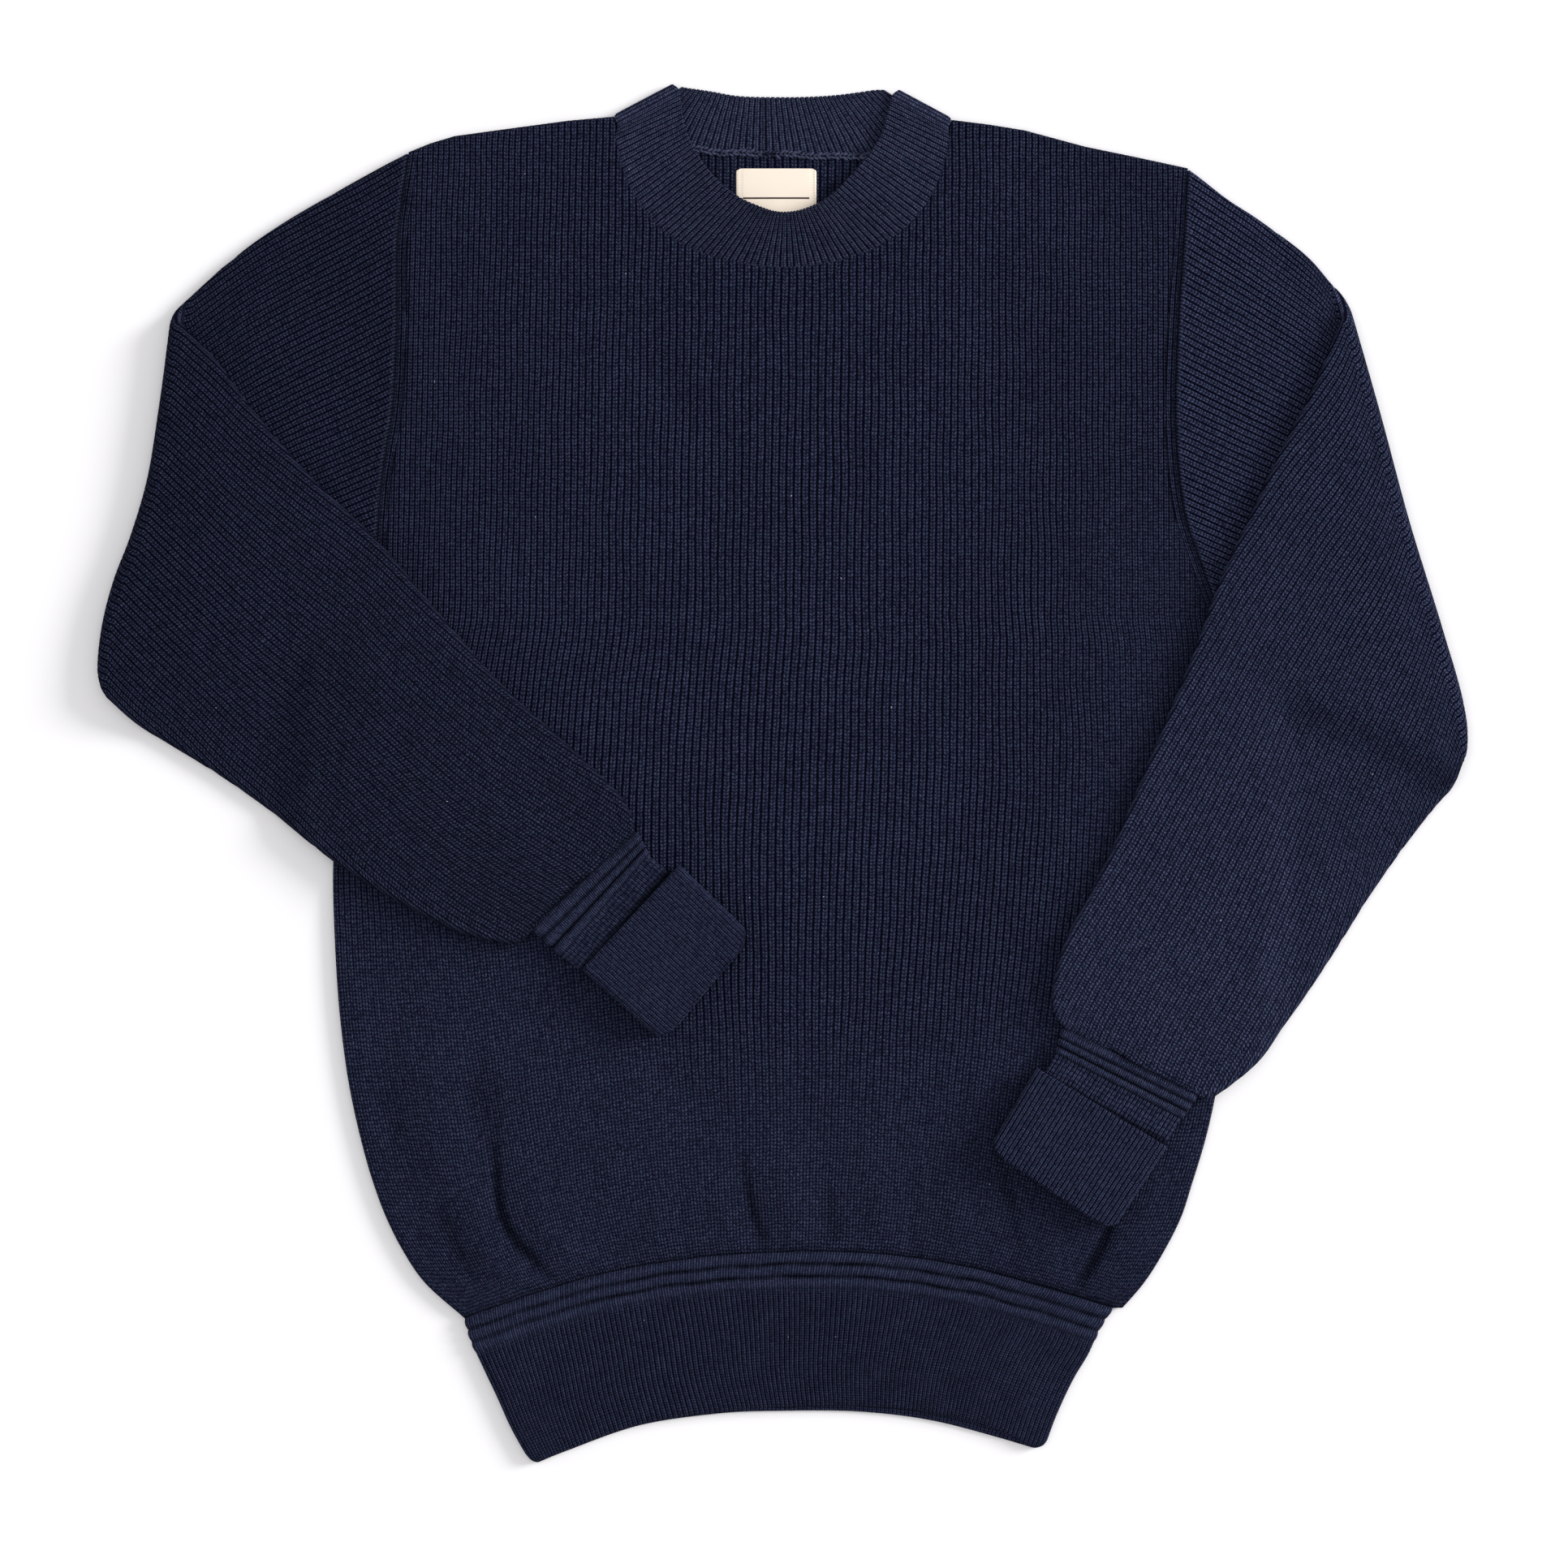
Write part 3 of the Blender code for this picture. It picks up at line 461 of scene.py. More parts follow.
def wobble(x, y, scale, seed, waves=9):
    """A smooth uneven field of about -1 to 1 whose hills are about scale millimetres apart."""
    rng = np.random.default_rng(seed)
    total = 0.0
    for _ in range(waves):
        way, k = rng.uniform(0, 2 * math.pi), 2 * math.pi / (scale * rng.uniform(0.7, 1.8))
        total = total + np.sin((x * math.cos(way) + y * math.sin(way)) * k + rng.uniform(0, 2 * math.pi))
    return total / math.sqrt(waves)


def folds_at(table, x, y):
    """Height that the folds of a table add at plan places in millimetres."""
    total = np.zeros(np.shape(x))
    for x0, y0, x1, y1, x2, y2, wide, high in table:
        t = np.linspace(0, 1, 13)
        line = through([0, 0.5, 1], xy([x0, x1, x2], [y0, y1, y2]), t)
        near = np.full(np.shape(x), 1e9)
        at = np.zeros(np.shape(x))
        for k in range(len(t) - 1):
            a, b = line[k], line[k + 1]
            span = b - a
            s = np.clip(((x - a[0]) * span[0] + (y - a[1]) * span[1]) / (span @ span), 0, 1)
            d = np.hypot(x - a[0] - s * span[0], y - a[1] - s * span[1])
            closer = d < near
            near = np.where(closer, d, near)
            at = np.where(closer, (k + s) / (len(t) - 1), at)
        swell = np.sin(math.pi * np.clip(at * 0.86 + 0.07, 0, 1)) ** 0.8
        total += high * swell * np.exp(-((near / wide) ** 2))
    return total


def inside(outline, x, y):
    found = np.zeros(np.shape(x), bool)
    for (ax, ay), (bx, by) in zip(outline, np.roll(outline, -1, axis=0)):
        crosses = (ay > y) != (by > y)
        with np.errstate(divide="ignore", invalid="ignore"):
            found ^= crosses & (x < (bx - ax) * (y - ay) / (by - ay) + ax)
    return found


FLAT = 2 * WALL + EASE
AXIS = FLAT + LIE / 2


class Sleeve:
    """One sleeve: its edges, its elbow fold and its heights."""

    def __init__(self, right):
        self.right = right
        self.upper = np.array(RIGHT_UPPER if right else LEFT_UPPER, float)
        self.fore = np.array(RIGHT_FOREARM if right else LEFT_FOREARM, float)
        self.bow = np.array(RIGHT_FOLD if right else LEFT_FOLD, float)
        ends = self.upper[-1]
        self.fold_a, self.fold_b = xy(ends[0], ends[1]), xy(ends[2], ends[3])
        along = (self.fold_b - self.fold_a) / np.linalg.norm(self.fold_b - self.fold_a)
        out = np.array([along[1], -along[0]])
        towards = xy(self.upper[0, 0], self.upper[0, 1]) - self.fold_a
        self.out = -out if out @ towards > 0 else out
        self.corners = RIGHT_CORNERS if right else LEFT_CORNERS
        self.along = along
        self.slides = {}
        for name, last, before in (("upper", self.upper[-1], self.upper[-2]), ("fore", self.fore[0], self.fore[1])):
            self.slides[name] = [
                self.to_outline(xy(last[c], last[c + 1]), xy(before[c], before[c + 1]), corner)
                for c, corner in ((0, self.fold_a), (2, self.fold_b))
            ]

    def to_outline(self, end, other, corner):
        """How far along the fold the axis meets the outline through end and other."""
        start = corner - AXIS * self.out
        a = np.array([[(other - end)[0], -self.along[0]], [(other - end)[1], -self.along[1]]])
        return float(np.clip(np.linalg.solve(a, start - end)[1], -15, 15))

    def slide(self, s, name):
        first, last = self.slides[name]
        return (np.asarray(s, float)[..., None] * (last - first) + first) * self.along

    def rounding(self, s):
        """Share of the fold's reach that is left near its two ends."""
        span = float(np.linalg.norm(self.fold_b - self.fold_a))
        cut = 0.0
        for distance, radius in ((s * span, self.corners[0]), ((1 - s) * span, self.corners[1])):
            q = np.clip(1 - distance / radius, 0, 1)
            cut = cut + 1 - np.sqrt(1 - q * q)
        return 1 - 0.7 * cut

    @staticmethod
    def shares(table):
        a, b = xy(table[:, 0], table[:, 1]), xy(table[:, 2], table[:, 3])
        steps = (np.linalg.norm(np.diff(a, axis=0), axis=1) + np.linalg.norm(np.diff(b, axis=0), axis=1)) / 2
        return np.concatenate([[0], np.cumsum(steps)]) / steps.sum()

    def edge(self, table, column, u):
        return through(self.shares(table), xy(table[:, column], table[:, column + 1]), u)

    def armhole(self, s):
        tip, pit = (RIGHT_TIP[1], RIGHT_PIT) if self.right else (LEFT_TIP[1], LEFT_PIT)
        y = my(tip) + s * (my(pit) - my(tip))
        x = side_x(y, self.right) + (GAP + 0.15 if self.right else -GAP - 0.15)
        return np.stack([x, y], axis=-1)

    def fold(self, s, inset):
        s = np.asarray(s, float)
        line = self.fold_a + s[..., None] * (self.fold_b - self.fold_a)
        bow = through(self.bow[:, 0], self.bow[:, 1] * CHART, s)
        return line + (bow - inset)[..., None] * self.out

    def patch(self, u, s, table, first, last):
        u, s = np.broadcast_arrays(np.asarray(u, float), np.asarray(s, float))
        a, b = self.edge(table, 0, u), self.edge(table, 2, u)
        s1, u1 = s[..., None], u[..., None]
        place = (1 - s1) * a + s1 * b
        zero, one = np.zeros_like(s), np.ones_like(s)
        for curve, weight in ((first, 1 - u1), (last, u1)):
            if curve:
                end = zero if curve is first else one
                place = place + weight * (
                    curve(s) - ((1 - s1) * self.edge(table, 0, end) + s1 * self.edge(table, 2, end))
                )
        return place

    def upper_plan(self, u, s):
        return self.patch(u, s, self.upper, self.armhole, lambda a: self.fold(a, AXIS) + self.slide(a, "upper"))

    def fore_plan(self, u, s):
        return self.patch(u, s, self.fore, lambda a: self.fold(a, AXIS) + self.slide(a, "fore"), None)

    def from_fold(self, place):
        return -((place - self.fold_a) @ self.out)

    def puff(self, place):
        return SLEEVE_PUFF * smooth((self.from_fold(place) - AXIS) / 60)

    def outline(self):
        u, s = np.linspace(0, 1, 24), np.linspace(0, 1, 16)
        return np.concatenate(
            [
                self.edge(self.upper, 0, u),
                self.fold(s, 0.0),
                self.edge(self.upper, 2, u[::-1]),
                self.armhole(s[::-1]),
            ]
        )


LEFT, RIGHT = Sleeve(False), Sleeve(True)

CELL = 2.0
RASTER = np.arange(-440, 441, CELL)


def disc_shifts(reach):
    n = int(reach / CELL)
    return [(i, j) for i in range(-n, n + 1) for j in range(-n, n + 1) if (i * i + j * j) * CELL * CELL <= reach * reach]


def shifted(field, i, j):
    return np.roll(np.roll(field, i, axis=0), j, axis=1)


def laid_on():
    x, y = np.meshgrid(RASTER, RASTER, indexing="ij")
    place = np.stack([x, y], axis=-1)
    on_body = (x > side_x(y, False)) & (x < side_x(y, True)) & (y > hem_y(x)) & (y < shoulder_y(x))
    field = np.where(on_body, body_top_z(x, y), 0.0)
    for sleeve in (LEFT, RIGHT):
        over = inside(sleeve.outline(), x, y)
        field = np.maximum(field, np.where(over, FLAT + sleeve.puff(place), 0.0))
    high = field.copy()
    for i, j in disc_shifts(BRIDGE):
        high = np.maximum(high, shifted(field, i, j))
    soft = np.zeros_like(high)
    shifts = disc_shifts(DRAPE)
    for i, j in shifts:
        soft += shifted(high, i, j)
    return soft / len(shifts)


LAID_ON = laid_on()


def rest_z(place):
    fx = (place[..., 0] - RASTER[0]) / CELL
    fy = (place[..., 1] - RASTER[0]) / CELL
    i = np.clip(np.floor(fx).astype(int), 0, len(RASTER) - 2)
    j = np.clip(np.floor(fy).astype(int), 0, len(RASTER) - 2)
    tx, ty = fx - i, fy - j
    z = (
        LAID_ON[i, j] * (1 - tx) * (1 - ty)
        + LAID_ON[i + 1, j] * tx * (1 - ty)
        + LAID_ON[i, j + 1] * (1 - tx) * ty
        + LAID_ON[i + 1, j + 1] * tx * ty
    )
    return z + LIE * np.clip(z / 0.5, 0, 1)


# ---------------------------------------------------------------- meshes


def rib_profile(phase, middle=0.12):
    """Depth below the rib's top, 0 to -1, at a phase whose whole numbers are the grooves."""
    q = np.abs(2 * (phase % 1.0) - 1)
    return -(q**7) - middle * np.exp(-((q / 0.25) ** 2))


def rib_columns(ribs, phases):
    """Rib counts at which a grid has its columns."""
    return np.concatenate([(np.arange(ribs)[:, None] + np.array(phases)[None, :]).ravel(), [float(ribs)]])


BODY_PHASES = (0.0, 0.1, 0.25, 0.5, 0.75, 0.9)
FINE_PHASES = (0.0, 0.2, 0.5, 0.8)


def normals_of(grid, wrap_columns=False, wrap_rows=False):
    """Unit normals of a grid of places, from its neighbours."""

    def change(axis, wrap):
        if wrap:
            return np.roll(grid, -1, axis=axis) - np.roll(grid, 1, axis=axis)
        return np.gradient(grid, axis=axis)

    n = np.cross(change(1, wrap_columns), change(0, wrap_rows))
    size = np.linalg.norm(n, axis=-1, keepdims=True)
    return np.where(size > 1e-7, n / np.maximum(size, 1e-7), np.array([0.0, 0.0, 1.0]))


class Shell:
    """Gathers the faces of one mesh, with a count of ribs and courses at each corner."""

    def __init__(self):
        self.places, self.faces, self.uvs, self.count = [], [], [], 0
        self.marks = {"open_share": [], "welt": [], "painted_shade_and_join": []}

    def add(self, grid, open_share=1.0, welt=0.0, painted_shade_and_join=0.0):
        """open_share says how far the ribs stand apart, 0 to 1, welt where the stitches are drawn out long, and the
        third mark how far the colour is painted darker as shade in grooves, seams, creases and under turned edges,
        paler as painted light below 0, and darker along joins."""
        index = self.count + np.arange(grid.shape[0] * grid.shape[1]).reshape(grid.shape[:2])
        self.places.append(grid.reshape(-1, 3))
        for key, value in zip(("open_share", "welt", "painted_shade_and_join"), (open_share, welt, painted_shade_and_join)):
            self.marks[key].append(np.broadcast_to(value, grid.shape[:2]).ravel())
        self.count += index.size
        return index

    def quads(self, index, ribs, courses, flip=False):
        corners = [(0, 0), (0, 1), (1, 1), (1, 0)]
        if flip:
            corners = corners[::-1]
        rows, cols = index.shape
        cut = lambda a, i, j: a[i : rows - 1 + i, j : cols - 1 + j]
        self.faces += np.stack([cut(index, i, j) for i, j in corners], axis=-1).reshape(-1, 4).tolist()
        ribs, courses = np.broadcast_to(ribs, index.shape), np.broadcast_to(courses, index.shape)
        pairs = [np.stack([cut(ribs, i, j), cut(courses, i, j)], axis=-1) for i, j in corners]
        self.uvs.append(np.stack(pairs, axis=2).reshape(-1, 2))

    def strip(self, fine, coarse, per, ribs, courses, flip=False):
        """Joins a fine edge to a coarse one that has one point to every per of it."""
        for k in range(len(coarse) - 1):
            piece = list(range(k * per, (k + 1) * per + 1))
            corners = [int(coarse[k]), int(coarse[k + 1])] + [int(fine[m]) for m in piece[::-1]]
            counts = [(ribs[piece[0]], courses), (ribs[piece[-1]], courses)] + [(ribs[m], courses) for m in piece[::-1]]
            if flip:
                corners, counts = corners[::-1], counts[::-1]
            self.faces.append(corners)
            self.uvs.append(np.array(counts, float))

    def build(self, name, surface, node):
        places = np.concatenate(self.places) * MM
        uvs = np.concatenate(self.uvs)
        extra = {key: np.concatenate(values) for key, values in self.marks.items()}
        # corners that lie on each other become one, and faces that are left without an area go
        keys, first, same = np.unique(np.round(places * 1e7).astype(np.int64), axis=0, return_index=True, return_inverse=True)
        same = same.ravel()
        faces, kept_uvs, at = [], [], 0
        for face in self.faces:
            ids = [int(same[i]) for i in face]
            picked = [k for k in range(len(ids)) if ids[k] != ids[k - 1]]
            if len({ids[k] for k in picked}) == len(picked) and len(picked) > 2:
                faces.append([ids[k] for k in picked])
                kept_uvs += [at + k for k in picked]
            at += len(face)
        places, uvs = places[first], uvs[kept_uvs]
        mesh = bpy.data.meshes.new(name)
        mesh.from_pydata(places.tolist(), [], faces)
        mesh.uv_layers.new(name="knit").data.foreach_set("uv", uvs.astype(np.float32).ravel())
        for key, values in extra.items():
            mesh.attributes.new(key, "FLOAT", "POINT").data.foreach_set("value", values[first].astype(np.float32))
        mesh.shade_smooth()
        mesh.materials.append(surface)
        made = bpy.data.objects.new(name, mesh)
        bpy.context.scene.collection.objects.link(made)
        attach(made, "root")
        if node:
            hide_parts(node)
        return made


def panel(name, surface, upper, lower, ribs, per, upper_courses, lower_per=1, lower_courses=None, open_share=1.0, welt=0.0, painted_shade_and_join=0.0):
    """A closed sheet from an upper grid and a lower one, whose columns lie lower_per to a rib. ribs counts the upper's."""
    shell = Shell()
    step = per // lower_per
    spread = [np.broadcast_to(e, upper.shape[:2]) for e in (open_share, welt, painted_shade_and_join)]
    top = shell.add(upper, *spread)
    low = shell.add(lower, *(e[:, ::step] for e in spread))
    low_ribs = ribs[::step]
    low_courses = upper_courses[:, ::step] if lower_courses is None else lower_courses
    shell.quads(top, ribs, upper_courses)
    shell.quads(low, low_ribs, low_courses, flip=True)
    for row, flip in ((0, False), (-1, True)):
        shell.strip(top[row], low[row], step, ribs, float(np.mean(upper_courses[row])), flip)
    for col, flip in ((0, True), (-1, False)):
        rows = np.stack([top[:, col], low[:, col]], axis=1)
        shell.quads(rows, np.array([ribs[col], ribs[col]]), upper_courses[:, [col, col]], not flip)
    return shell.build(name, surface, name)


# ---------------------------------------------------------------- materials


def node(tree, kind, **settings):
    made = tree.nodes.new(kind)
    for key, value in settings.items():
        setattr(made, key, value)
    return made


class Graph:
    """Small helper that writes sums of shader nodes."""

    def __init__(self, tree):
        self.tree = tree

    def math(self, operation, *inputs, clamp=False):
        made = node(self.tree, "ShaderNodeMath", operation=operation, use_clamp=clamp)
        for socket, value in zip(made.inputs, inputs):
            if isinstance(value, (int, float)):
                socket.default_value = value
            else:
                self.tree.links.new(value, socket)
        return made.outputs[0]

    def mix(self, factor, one, two):
        made = node(self.tree, "ShaderNodeMix", data_type="RGBA")
        for socket, value in zip((made.inputs[0], made.inputs[6], made.inputs[7]), (factor, one, two)):
            if isinstance(value, (int, float, tuple)):
                socket.default_value = value
            else:
                self.tree.links.new(value, socket)
        return made.outputs[2]

    def link(self, out, into):
        self.tree.links.new(out, into)


def attribute(tree, name):
    return node(tree, "ShaderNodeAttribute", attribute_name=name).outputs["Fac"]


def knit_material(name, light, dark, bump, long_stitch=0.0, mottle=0.2, loose=1.0, lip=0.67):
    """Knit of soft yarn. The map counts ribs across and courses along, and each rib has two columns of stitch legs. loose
    says how much they stray, and lip how near the middle of a rib its groove begins."""
    made = bpy.data.materials.new(name)
    made.use_nodes = True
    tree = made.node_tree
    shader = tree.nodes["Principled BSDF"]
    g = Graph(tree)
    counts = node(tree, "ShaderNodeUVMap", uv_map="knit")
    split = node(tree, "ShaderNodeSeparateXYZ")
    g.link(counts.outputs[0], split.inputs[0])
    ribs, courses = split.outputs[0], split.outputs[1]
    apart, welt, painted_shade_and_join = attribute(tree, "open_share"), attribute(tree, "welt"), attribute(tree, "painted_shade_and_join")
    place = node(tree, "ShaderNodeTexCoord")

    # uneven tension: the columns of stitches wander a little
    drift = node(tree, "ShaderNodeTexNoise", noise_dimensions="3D")
    drift.inputs["Scale"].default_value = 90.0
    drift.inputs["Detail"].default_value = 3.0
    g.link(place.outputs["Object"], drift.inputs["Vector"])
    wander = g.math("SUBTRACT", drift.outputs["Fac"], 0.5)
    tangle = node(tree, "ShaderNodeTexNoise", noise_dimensions="3D")
    tangle.inputs["Scale"].default_value = 430.0
    tangle.inputs["Detail"].default_value = 2.0
    g.link(place.outputs["Object"], tangle.inputs["Vector"])
    parts = node(tree, "ShaderNodeSeparateColor")
    g.link(tangle.outputs["Color"], parts.inputs[0])
    ribs_w = g.math("ADD", ribs, g.math("MULTIPLY", wander, 0.22 * loose))
    ribs_w = g.math("ADD", ribs_w, g.math("MULTIPLY", g.math("SUBTRACT", parts.outputs[0], 0.5), 0.26 * loose))
    courses_w = g.math("ADD", courses, g.math("MULTIPLY", wander, 1.6))
    courses_w = g.math("ADD", courses_w, g.math("MULTIPLY", g.math("SUBTRACT", parts.outputs[1], 0.5), 1.2 * loose))

    phase = g.math("FRACT", ribs_w)
    away = g.math("ABSOLUTE", g.math("MULTIPLY", g.math("SUBTRACT", phase, 0.5), 2.0))  # 0 mid rib, 1 in the groove

    def bell(value, centre, wide):
        q = g.math("DIVIDE", g.math("SUBTRACT", value, centre), wide)
        return g.math("EXPONENT", g.math("MULTIPLY", g.math("MULTIPLY", q, q), -1.0))

    centre = g.math("SUBTRACT", 0.5, g.math("MULTIPLY", apart, 0.07))
    leg = bell(away, centre, 0.28)
    row = g.math("SUBTRACT", courses_w, g.math("MULTIPLY", away, 0.4))
    bead = g.math("POWER", g.math("ABSOLUTE", g.math("SINE", g.math("MULTIPLY", row, math.pi))), 1.5)
    drawn = g.math("ADD", g.math("MULTIPLY", bead, 0.25), 0.6)
    long = g.math("MAXIMUM", welt, long_stitch)
    bead = g.math("ADD", g.math("MULTIPLY", bead, g.math("SUBTRACT", 1.0, long)), g.math("MULTIPLY", drawn, long))
    stitch = g.math("MULTIPLY", leg, bead)

    # each stitch has its own shade
    cell = node(tree, "ShaderNodeCombineXYZ")
    g.link(g.math("FLOOR", g.math("MULTIPLY", ribs_w, 2.0)), cell.inputs[0])
    g.link(g.math("FLOOR", row), cell.inputs[1])
    chance = node(tree, "ShaderNodeTexWhiteNoise", noise_dimensions="2D")
    g.link(cell.outputs[0], chance.inputs["Vector"])
    own = chance.outputs["Value"]

    cloud = node(tree, "ShaderNodeTexNoise", noise_dimensions="3D")
    cloud.inputs["Scale"].default_value = 16.0
    cloud.inputs["Detail"].default_value = 5.0
    cloud.inputs["Roughness"].default_value = 0.65
    g.link(place.outputs["Object"], cloud.inputs["Vector"])
    fuzz = node(tree, "ShaderNodeTexNoise", noise_dimensions="3D")
    fuzz.inputs["Scale"].default_value = 1300.0
    fuzz.inputs["Detail"].default_value = 3.0
    fuzz.inputs["Roughness"].default_value = 0.7
    g.link(place.outputs["Object"], fuzz.inputs["Vector"])

    shade = g.math("MULTIPLY", stitch, g.math("ADD", 1.0 - 0.56 * loose, g.math("MULTIPLY", own, 1.12 * loose)))
    shade = g.math("ADD", shade, g.math("MULTIPLY", g.math("SUBTRACT", fuzz.outputs["Fac"], 0.5), 1.8 * loose), clamp=True)
    # the yarn is spun of fibres of slightly different blues
    spun = g.math("MULTIPLY", g.math("SUBTRACT", parts.outputs[2], 0.3), 2.5, clamp=True)
    cooler = (light[0] * 0.88, light[1] * 1.04, light[2] * 0.95, 1.0)
    warmer = (light[0] * 1.12, light[1] * 0.96, light[2] * 1.06, 1.0)
    colour = g.mix(shade, dark, g.mix(spun, cooler, warmer))
    # the groove between ribs is in its own shadow, less where the ribs are drawn together
    deep = g.math("MULTIPLY", g.math("SUBTRACT", away, lip), 5.0, clamp=True)
    uneven = g.math("ADD", 0.35, g.math("MULTIPLY", parts.outputs[2], 1.1), clamp=True)
    amount = g.math("MULTIPLY", g.math("MULTIPLY", deep, uneven), g.math("ADD", 0.04, g.math("MULTIPLY", apart, 0.9)))
    colour = g.mix(amount, colour, GROOVE)
    level = g.math(
        "ADD",
        1.0 - mottle,
        g.math("ADD", g.math("MULTIPLY", cloud.outputs["Fac"], 2 * mottle * 0.8), g.math("MULTIPLY", fuzz.outputs["Fac"], 0.5 * mottle)),
    )
    # painted shade and painted light: the shade attribute read above darkens the colour, or lightens it where it is
    # below 0
    level = g.math("MULTIPLY", level, g.math("SUBTRACT", 1.0, g.math("MULTIPLY", painted_shade_and_join, 0.9)))
    scaled = node(tree, "ShaderNodeVectorMath", operation="SCALE")
    g.link(colour, scaled.inputs[0])
    g.link(level, scaled.inputs["Scale"])
    # rare specks of pale lint
    speck = g.math("MULTIPLY", g.math("GREATER_THAN", own, 0.99985), g.math("GREATER_THAN", stitch, 0.72))
    final = g.mix(g.math("MULTIPLY", speck, 0.6), scaled.outputs[0], (0.42, 0.43, 0.47, 1.0))
    g.link(final, shader.inputs["Base Color"])

    height = g.math("ADD", stitch, g.math("MULTIPLY", fuzz.outputs["Fac"], 0.35))
    relief = node(tree, "ShaderNodeBump")
    relief.inputs["Strength"].default_value = 0.8
    relief.inputs["Distance"].default_value = bump * MM
    g.link(height, relief.inputs["Height"])
    g.link(relief.outputs[0], shader.inputs["Normal"])
    g.link(g.math("ADD", 0.84, g.math("MULTIPLY", fuzz.outputs["Fac"], 0.16)), shader.inputs["Roughness"])
    shader.inputs["Specular IOR Level"].default_value = 0.02
    shader.inputs["Sheen Weight"].default_value = 0.005
    shader.inputs["Sheen Roughness"].default_value = 0.5
    shader.inputs["Sheen Tint"].default_value = (0.6, 0.65, 0.9, 1.0)
    return made


def tinted(colour, by):
    return tuple(c * by for c in colour[:3]) + (1.0,)


LIGHT = (0.0395, 0.0465, 0.0900, 1.0)
DARK = (0.0026, 0.0034, 0.0112, 1.0)
GROOVE = (0.0013, 0.0017, 0.0075, 1.0)
BODY_KNIT = knit_material("body_knit", tinted(LIGHT, 1.03), DARK, 0.7, loose=0.75, lip=0.63)
# The sleeves and cuffs are lit and shaded copies of one knit: painted light makes sleeve_left and cuff_left paler, and
# painted shade makes sleeve_right darker.
SLEEVE_R_KNIT = knit_material("sleeve_right_knit", tinted(LIGHT, 0.97), tinted(DARK, 0.6), 0.8, loose=0.7, lip=0.53)
SLEEVE_L_KNIT = knit_material("sleeve_left_knit", tinted(LIGHT, 1.62), tinted(DARK, 1.1), 0.8, loose=0.7, lip=0.53)
HEM_RIBBING = knit_material("hem_ribbing", tinted(LIGHT, 1.12), tinted(DARK, 1.2), 0.45, 0.25, loose=0.55)
CUFF_R_RIBBING = knit_material("cuff_right_ribbing", tinted(LIGHT, 1.14), tinted(DARK, 1.1), 0.45, 0.25, loose=0.8, lip=0.6)
CUFF_L_RIBBING = knit_material("cuff_left_ribbing", tinted(LIGHT, 1.27), tinted(DARK, 1.1), 0.45, 0.25, loose=0.8, lip=0.6)
COLLAR_RIBBING = knit_material("collar_ribbing", (0.0492, 0.0563, 0.1005, 1.0), tinted(DARK, 1.1), 0.45, 0.25, loose=0.8, lip=0.62)


def label_material():
    made = bpy.data.materials.new("label_cloth")
    made.use_nodes = True
    tree = made.node_tree
    shader = tree.nodes["Principled BSDF"]
    g = Graph(tree)
    counts = node(tree, "ShaderNodeUVMap", uv_map="knit")
    split = node(tree, "ShaderNodeSeparateXYZ")
    g.link(counts.outputs[0], split.inputs[0])
    x, y = split.outputs[0], split.outputs[1]
    warp = g.math("ABSOLUTE", g.math("SINE", g.math("MULTIPLY", x, math.pi / 0.35)))
    weft = g.math("ABSOLUTE", g.math("SINE", g.math("MULTIPLY", y, math.pi / 0.3)))
    weave = g.math("MULTIPLY", warp, weft)
    cream = g.mix(g.math("MULTIPLY", weave, 0.5), (0.89, 0.78, 0.66, 1.0), (0.97, 0.86, 0.74, 1.0))
    # a plain rule line across, x and y in millimetres from the label's upper left corner
    on_x = g.math("MULTIPLY", g.math("GREATER_THAN", x, 3.8), g.math("LESS_THAN", x, 41.5))
    on_y = g.math("LESS_THAN", g.math("ABSOLUTE", g.math("SUBTRACT", y, 16.8)), 0.5)
    colour = g.mix(g.math("MULTIPLY", on_x, on_y), cream, (0.04, 0.026, 0.022, 1.0))
    by_side = g.math("ABSOLUTE", g.math("SUBTRACT", g.math("ABSOLUTE", g.math("SUBTRACT", x, 22.8)), 21.4))
    dash = g.math("GREATER_THAN", g.math("SINE", g.math("MULTIPLY", y, 2 * math.pi / 1.5)), 0.1)
    sewn = g.math("MULTIPLY", g.math("LESS_THAN", by_side, 0.22), dash)
    colour = g.mix(g.math("MULTIPLY", sewn, 0.6), colour, (0.3, 0.2, 0.13, 1.0))
    g.link(colour, shader.inputs["Base Color"])
    relief = node(tree, "ShaderNodeBump")
    relief.inputs["Strength"].default_value = 0.4
    relief.inputs["Distance"].default_value = 0.12 * MM
    g.link(weave, relief.inputs["Height"])
    g.link(relief.outputs[0], shader.inputs["Normal"])
    g.link(g.math("ADD", 0.6, g.math("MULTIPLY", weave, 0.12)), shader.inputs["Roughness"])
    shader.inputs["Specular IOR Level"].default_value = 0.3
    return made


LABEL_CLOTH = label_material()


# ---------------------------------------------------------------- body


SELVEDGE = 2.0  # ribs that follow the panel's side
PIT_Y = float(my(RIGHT_PIT))


